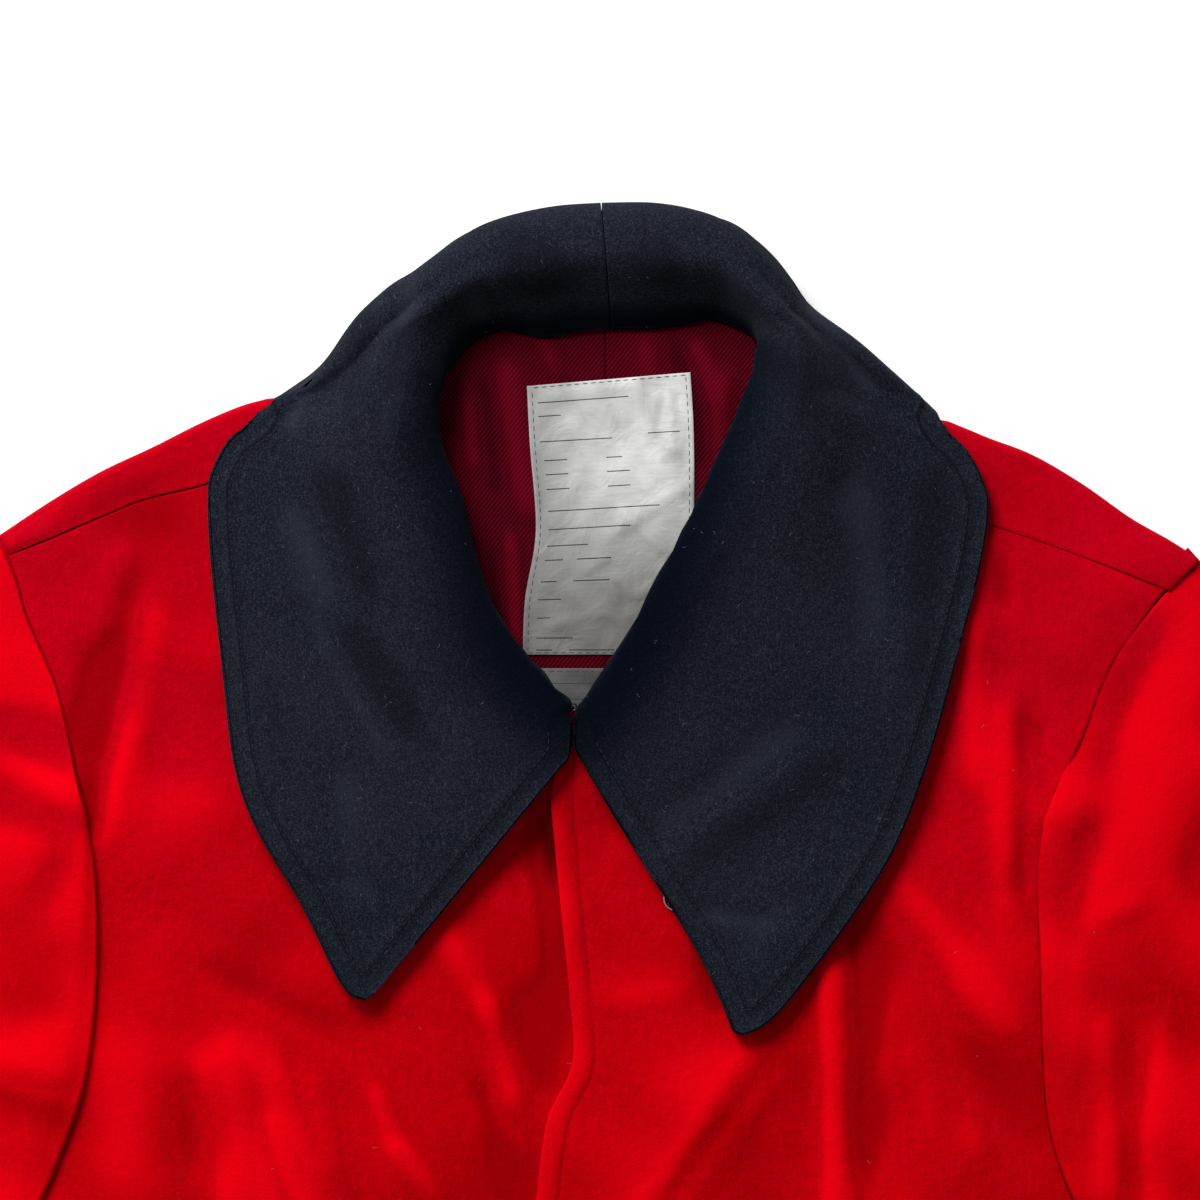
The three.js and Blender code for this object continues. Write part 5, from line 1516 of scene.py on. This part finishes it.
# Blank ruled lines of a form: start and end across, place down.
RULED = [
    (0.06, 0.62, 0.10), (0.06, 0.2, 0.155), (0.06, 0.5, 0.245), (0.72, 0.92, 0.235),
    (0.08, 0.22, 0.305), (0.46, 0.56, 0.305), (0.08, 0.22, 0.345), (0.46, 0.6, 0.345), (0.08, 0.22, 0.385),
    (0.46, 0.6, 0.385), (0.08, 0.78, 0.445), (0.08, 0.6, 0.5), (0.08, 0.34, 0.555), (0.08, 0.2, 0.605),
    (0.28, 0.5, 0.605), (0.08, 0.18, 0.685), (0.28, 0.5, 0.685), (0.08, 0.22, 0.755), (0.08, 0.16, 0.825),
    (0.08, 0.3, 0.905), (0.08, 0.18, 0.965), (0.28, 0.56, 0.965),
]
for k, (a, b, down) in enumerate(RULED):
    line = label_line("main", (a, down), (b, down))
    sew(f"label_rule_{k}", "label_main", line, RULE, PRINT, 0.2)
CARE_RULES = [((0.0, 0.36), (1.0, 0.36)), ((0.0, 0.72), (1.0, 0.72)), ((0.46, 0.72), (0.46, 1.0))]
for k, (a, b) in enumerate(CARE_RULES):
    sew(f"care_rule_{k}", "label_care", label_line("care", a, b), CARE_RULE, PRINT, 0.14)

# Lint and loose hairs, as wool felt picks up: seeded, so that each run is the same.
LINT = {
    "collar_right": 70,
    "collar_left": 70,
    "front_right": 12,
    "front_left": 12,
    "sleeve_right": 5,
    "sleeve_left": 5,
}
LINT_LOWEST_Y = 200
LINT_PARTS = 3
LINT_ABOVE = 0.08
LINT_RADIUS = 0.04
lint_starts = []
lint_ends = []
chance = np.random.default_rng(7)
for node, count in LINT.items():
    find = top_of(node)
    box_low, box_high = (Vector(v) * 1000 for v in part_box(node))
    low_y = max(box_low.y, LINT_LOWEST_Y)
    placed = 0
    while placed < count:
        x = chance.uniform(box_low.x, box_high.x)
        y = chance.uniform(low_y, box_high.y)
        angle = chance.uniform(0, 6.283)
        bend = chance.uniform(-0.7, 0.7)
        size = chance.uniform(0.3, 0.8)
        here = find(x, y)
        if here is None:
            continue
        placed += 1
        for _ in range(LINT_PARTS):
            there_x = x + size * math.cos(angle)
            there_y = y + size * math.sin(angle)
            there = find(there_x, there_y)
            if there is None or abs(there.z - here.z) > 1:
                break
            lint_starts.append((x, y, here.z + LINT_ABOVE))
            lint_ends.append((there_x, there_y, there.z + LINT_ABOVE))
            x, y, here = there_x, there_y, there
            angle += bend
rods("lint", lint_starts, lint_ends, LINT_RADIUS, LINT_HAIR)

# The armhole turnings are listed with the sleeves.
for side in ("right", "left"):
    on_piece.setdefault(f"sleeve_{side}", []).append(turning[side])

# Floor, light and camera
FLOOR_HALF = 3.2


def make_floor():
    m = Nodes("floor")
    material = m.finish(m.mix(m.noise(30, 2), (0.86, 0.86, 0.86, 1), (0.9, 0.9, 0.9, 1)), Roughness=0.9)
    h = FLOOR_HALF
    mesh = bpy.data.meshes.new("floor")
    mesh.from_pydata([(-h, -h, 0), (h, -h, 0), (h, h, 0), (-h, h, 0)], [], [(0, 1, 2, 3)])
    mesh.materials.append(material)
    add_object("floor", mesh)


make_floor()


# Each light gives a share of the brightness that the floor has under a plain white sky. The columns are
# its name, the way to it, its share and its width in metres.
LIGHTS = [
    ("key", (-0.36, 0.72, 0.72), 0.9, 1.6),
    ("fill", (-0.65, 0.5, 0.5), 0.2, 2.4),
]
MIDDLE = Vector((0.0, 0.5, 0.0))
SKY_SHARE = 0.32
LIGHT_DISTANCE = 3.6


def area_light(name, way, share, size):
    way = Vector(way).normalized()
    data = bpy.data.lights.new(name, "AREA")
    data.shape = "DISK"
    data.size = size
    data.energy = share * (math.pi * LIGHT_DISTANCE) ** 2 / way.z
    light = add_object(name, data)
    light.location = MIDDLE + way * LIGHT_DISTANCE
    light.rotation_euler = (-way).to_track_quat("-Z", "Y").to_euler()


for light_row in LIGHTS:
    area_light(*light_row)
world = bpy.data.worlds.new("studio")
world.use_nodes = True
sky = world.node_tree.nodes["Background"].inputs
sky["Color"].default_value = (1, 1, 1, 1)
sky["Strength"].default_value = SKY_SHARE
bpy.context.scene.world = world
bpy.context.scene.view_settings.view_transform = "Standard"

# The photograph shows 528 mm of the cloak, seen straight down.
VIEW_WIDTH = 0.528
VIEW_MIDDLE = (0.0053, 0.5035)
CAMERA_HEIGHT = 4.0
SENSOR = 36
camera_data = bpy.data.cameras.new("camera")
camera_data.sensor_width = SENSOR
camera_data.lens = SENSOR * CAMERA_HEIGHT / VIEW_WIDTH
camera_data.clip_end = 20
camera = add_object("camera", camera_data)
camera.location = (*VIEW_MIDDLE, CAMERA_HEIGHT)
bpy.context.scene.camera = camera
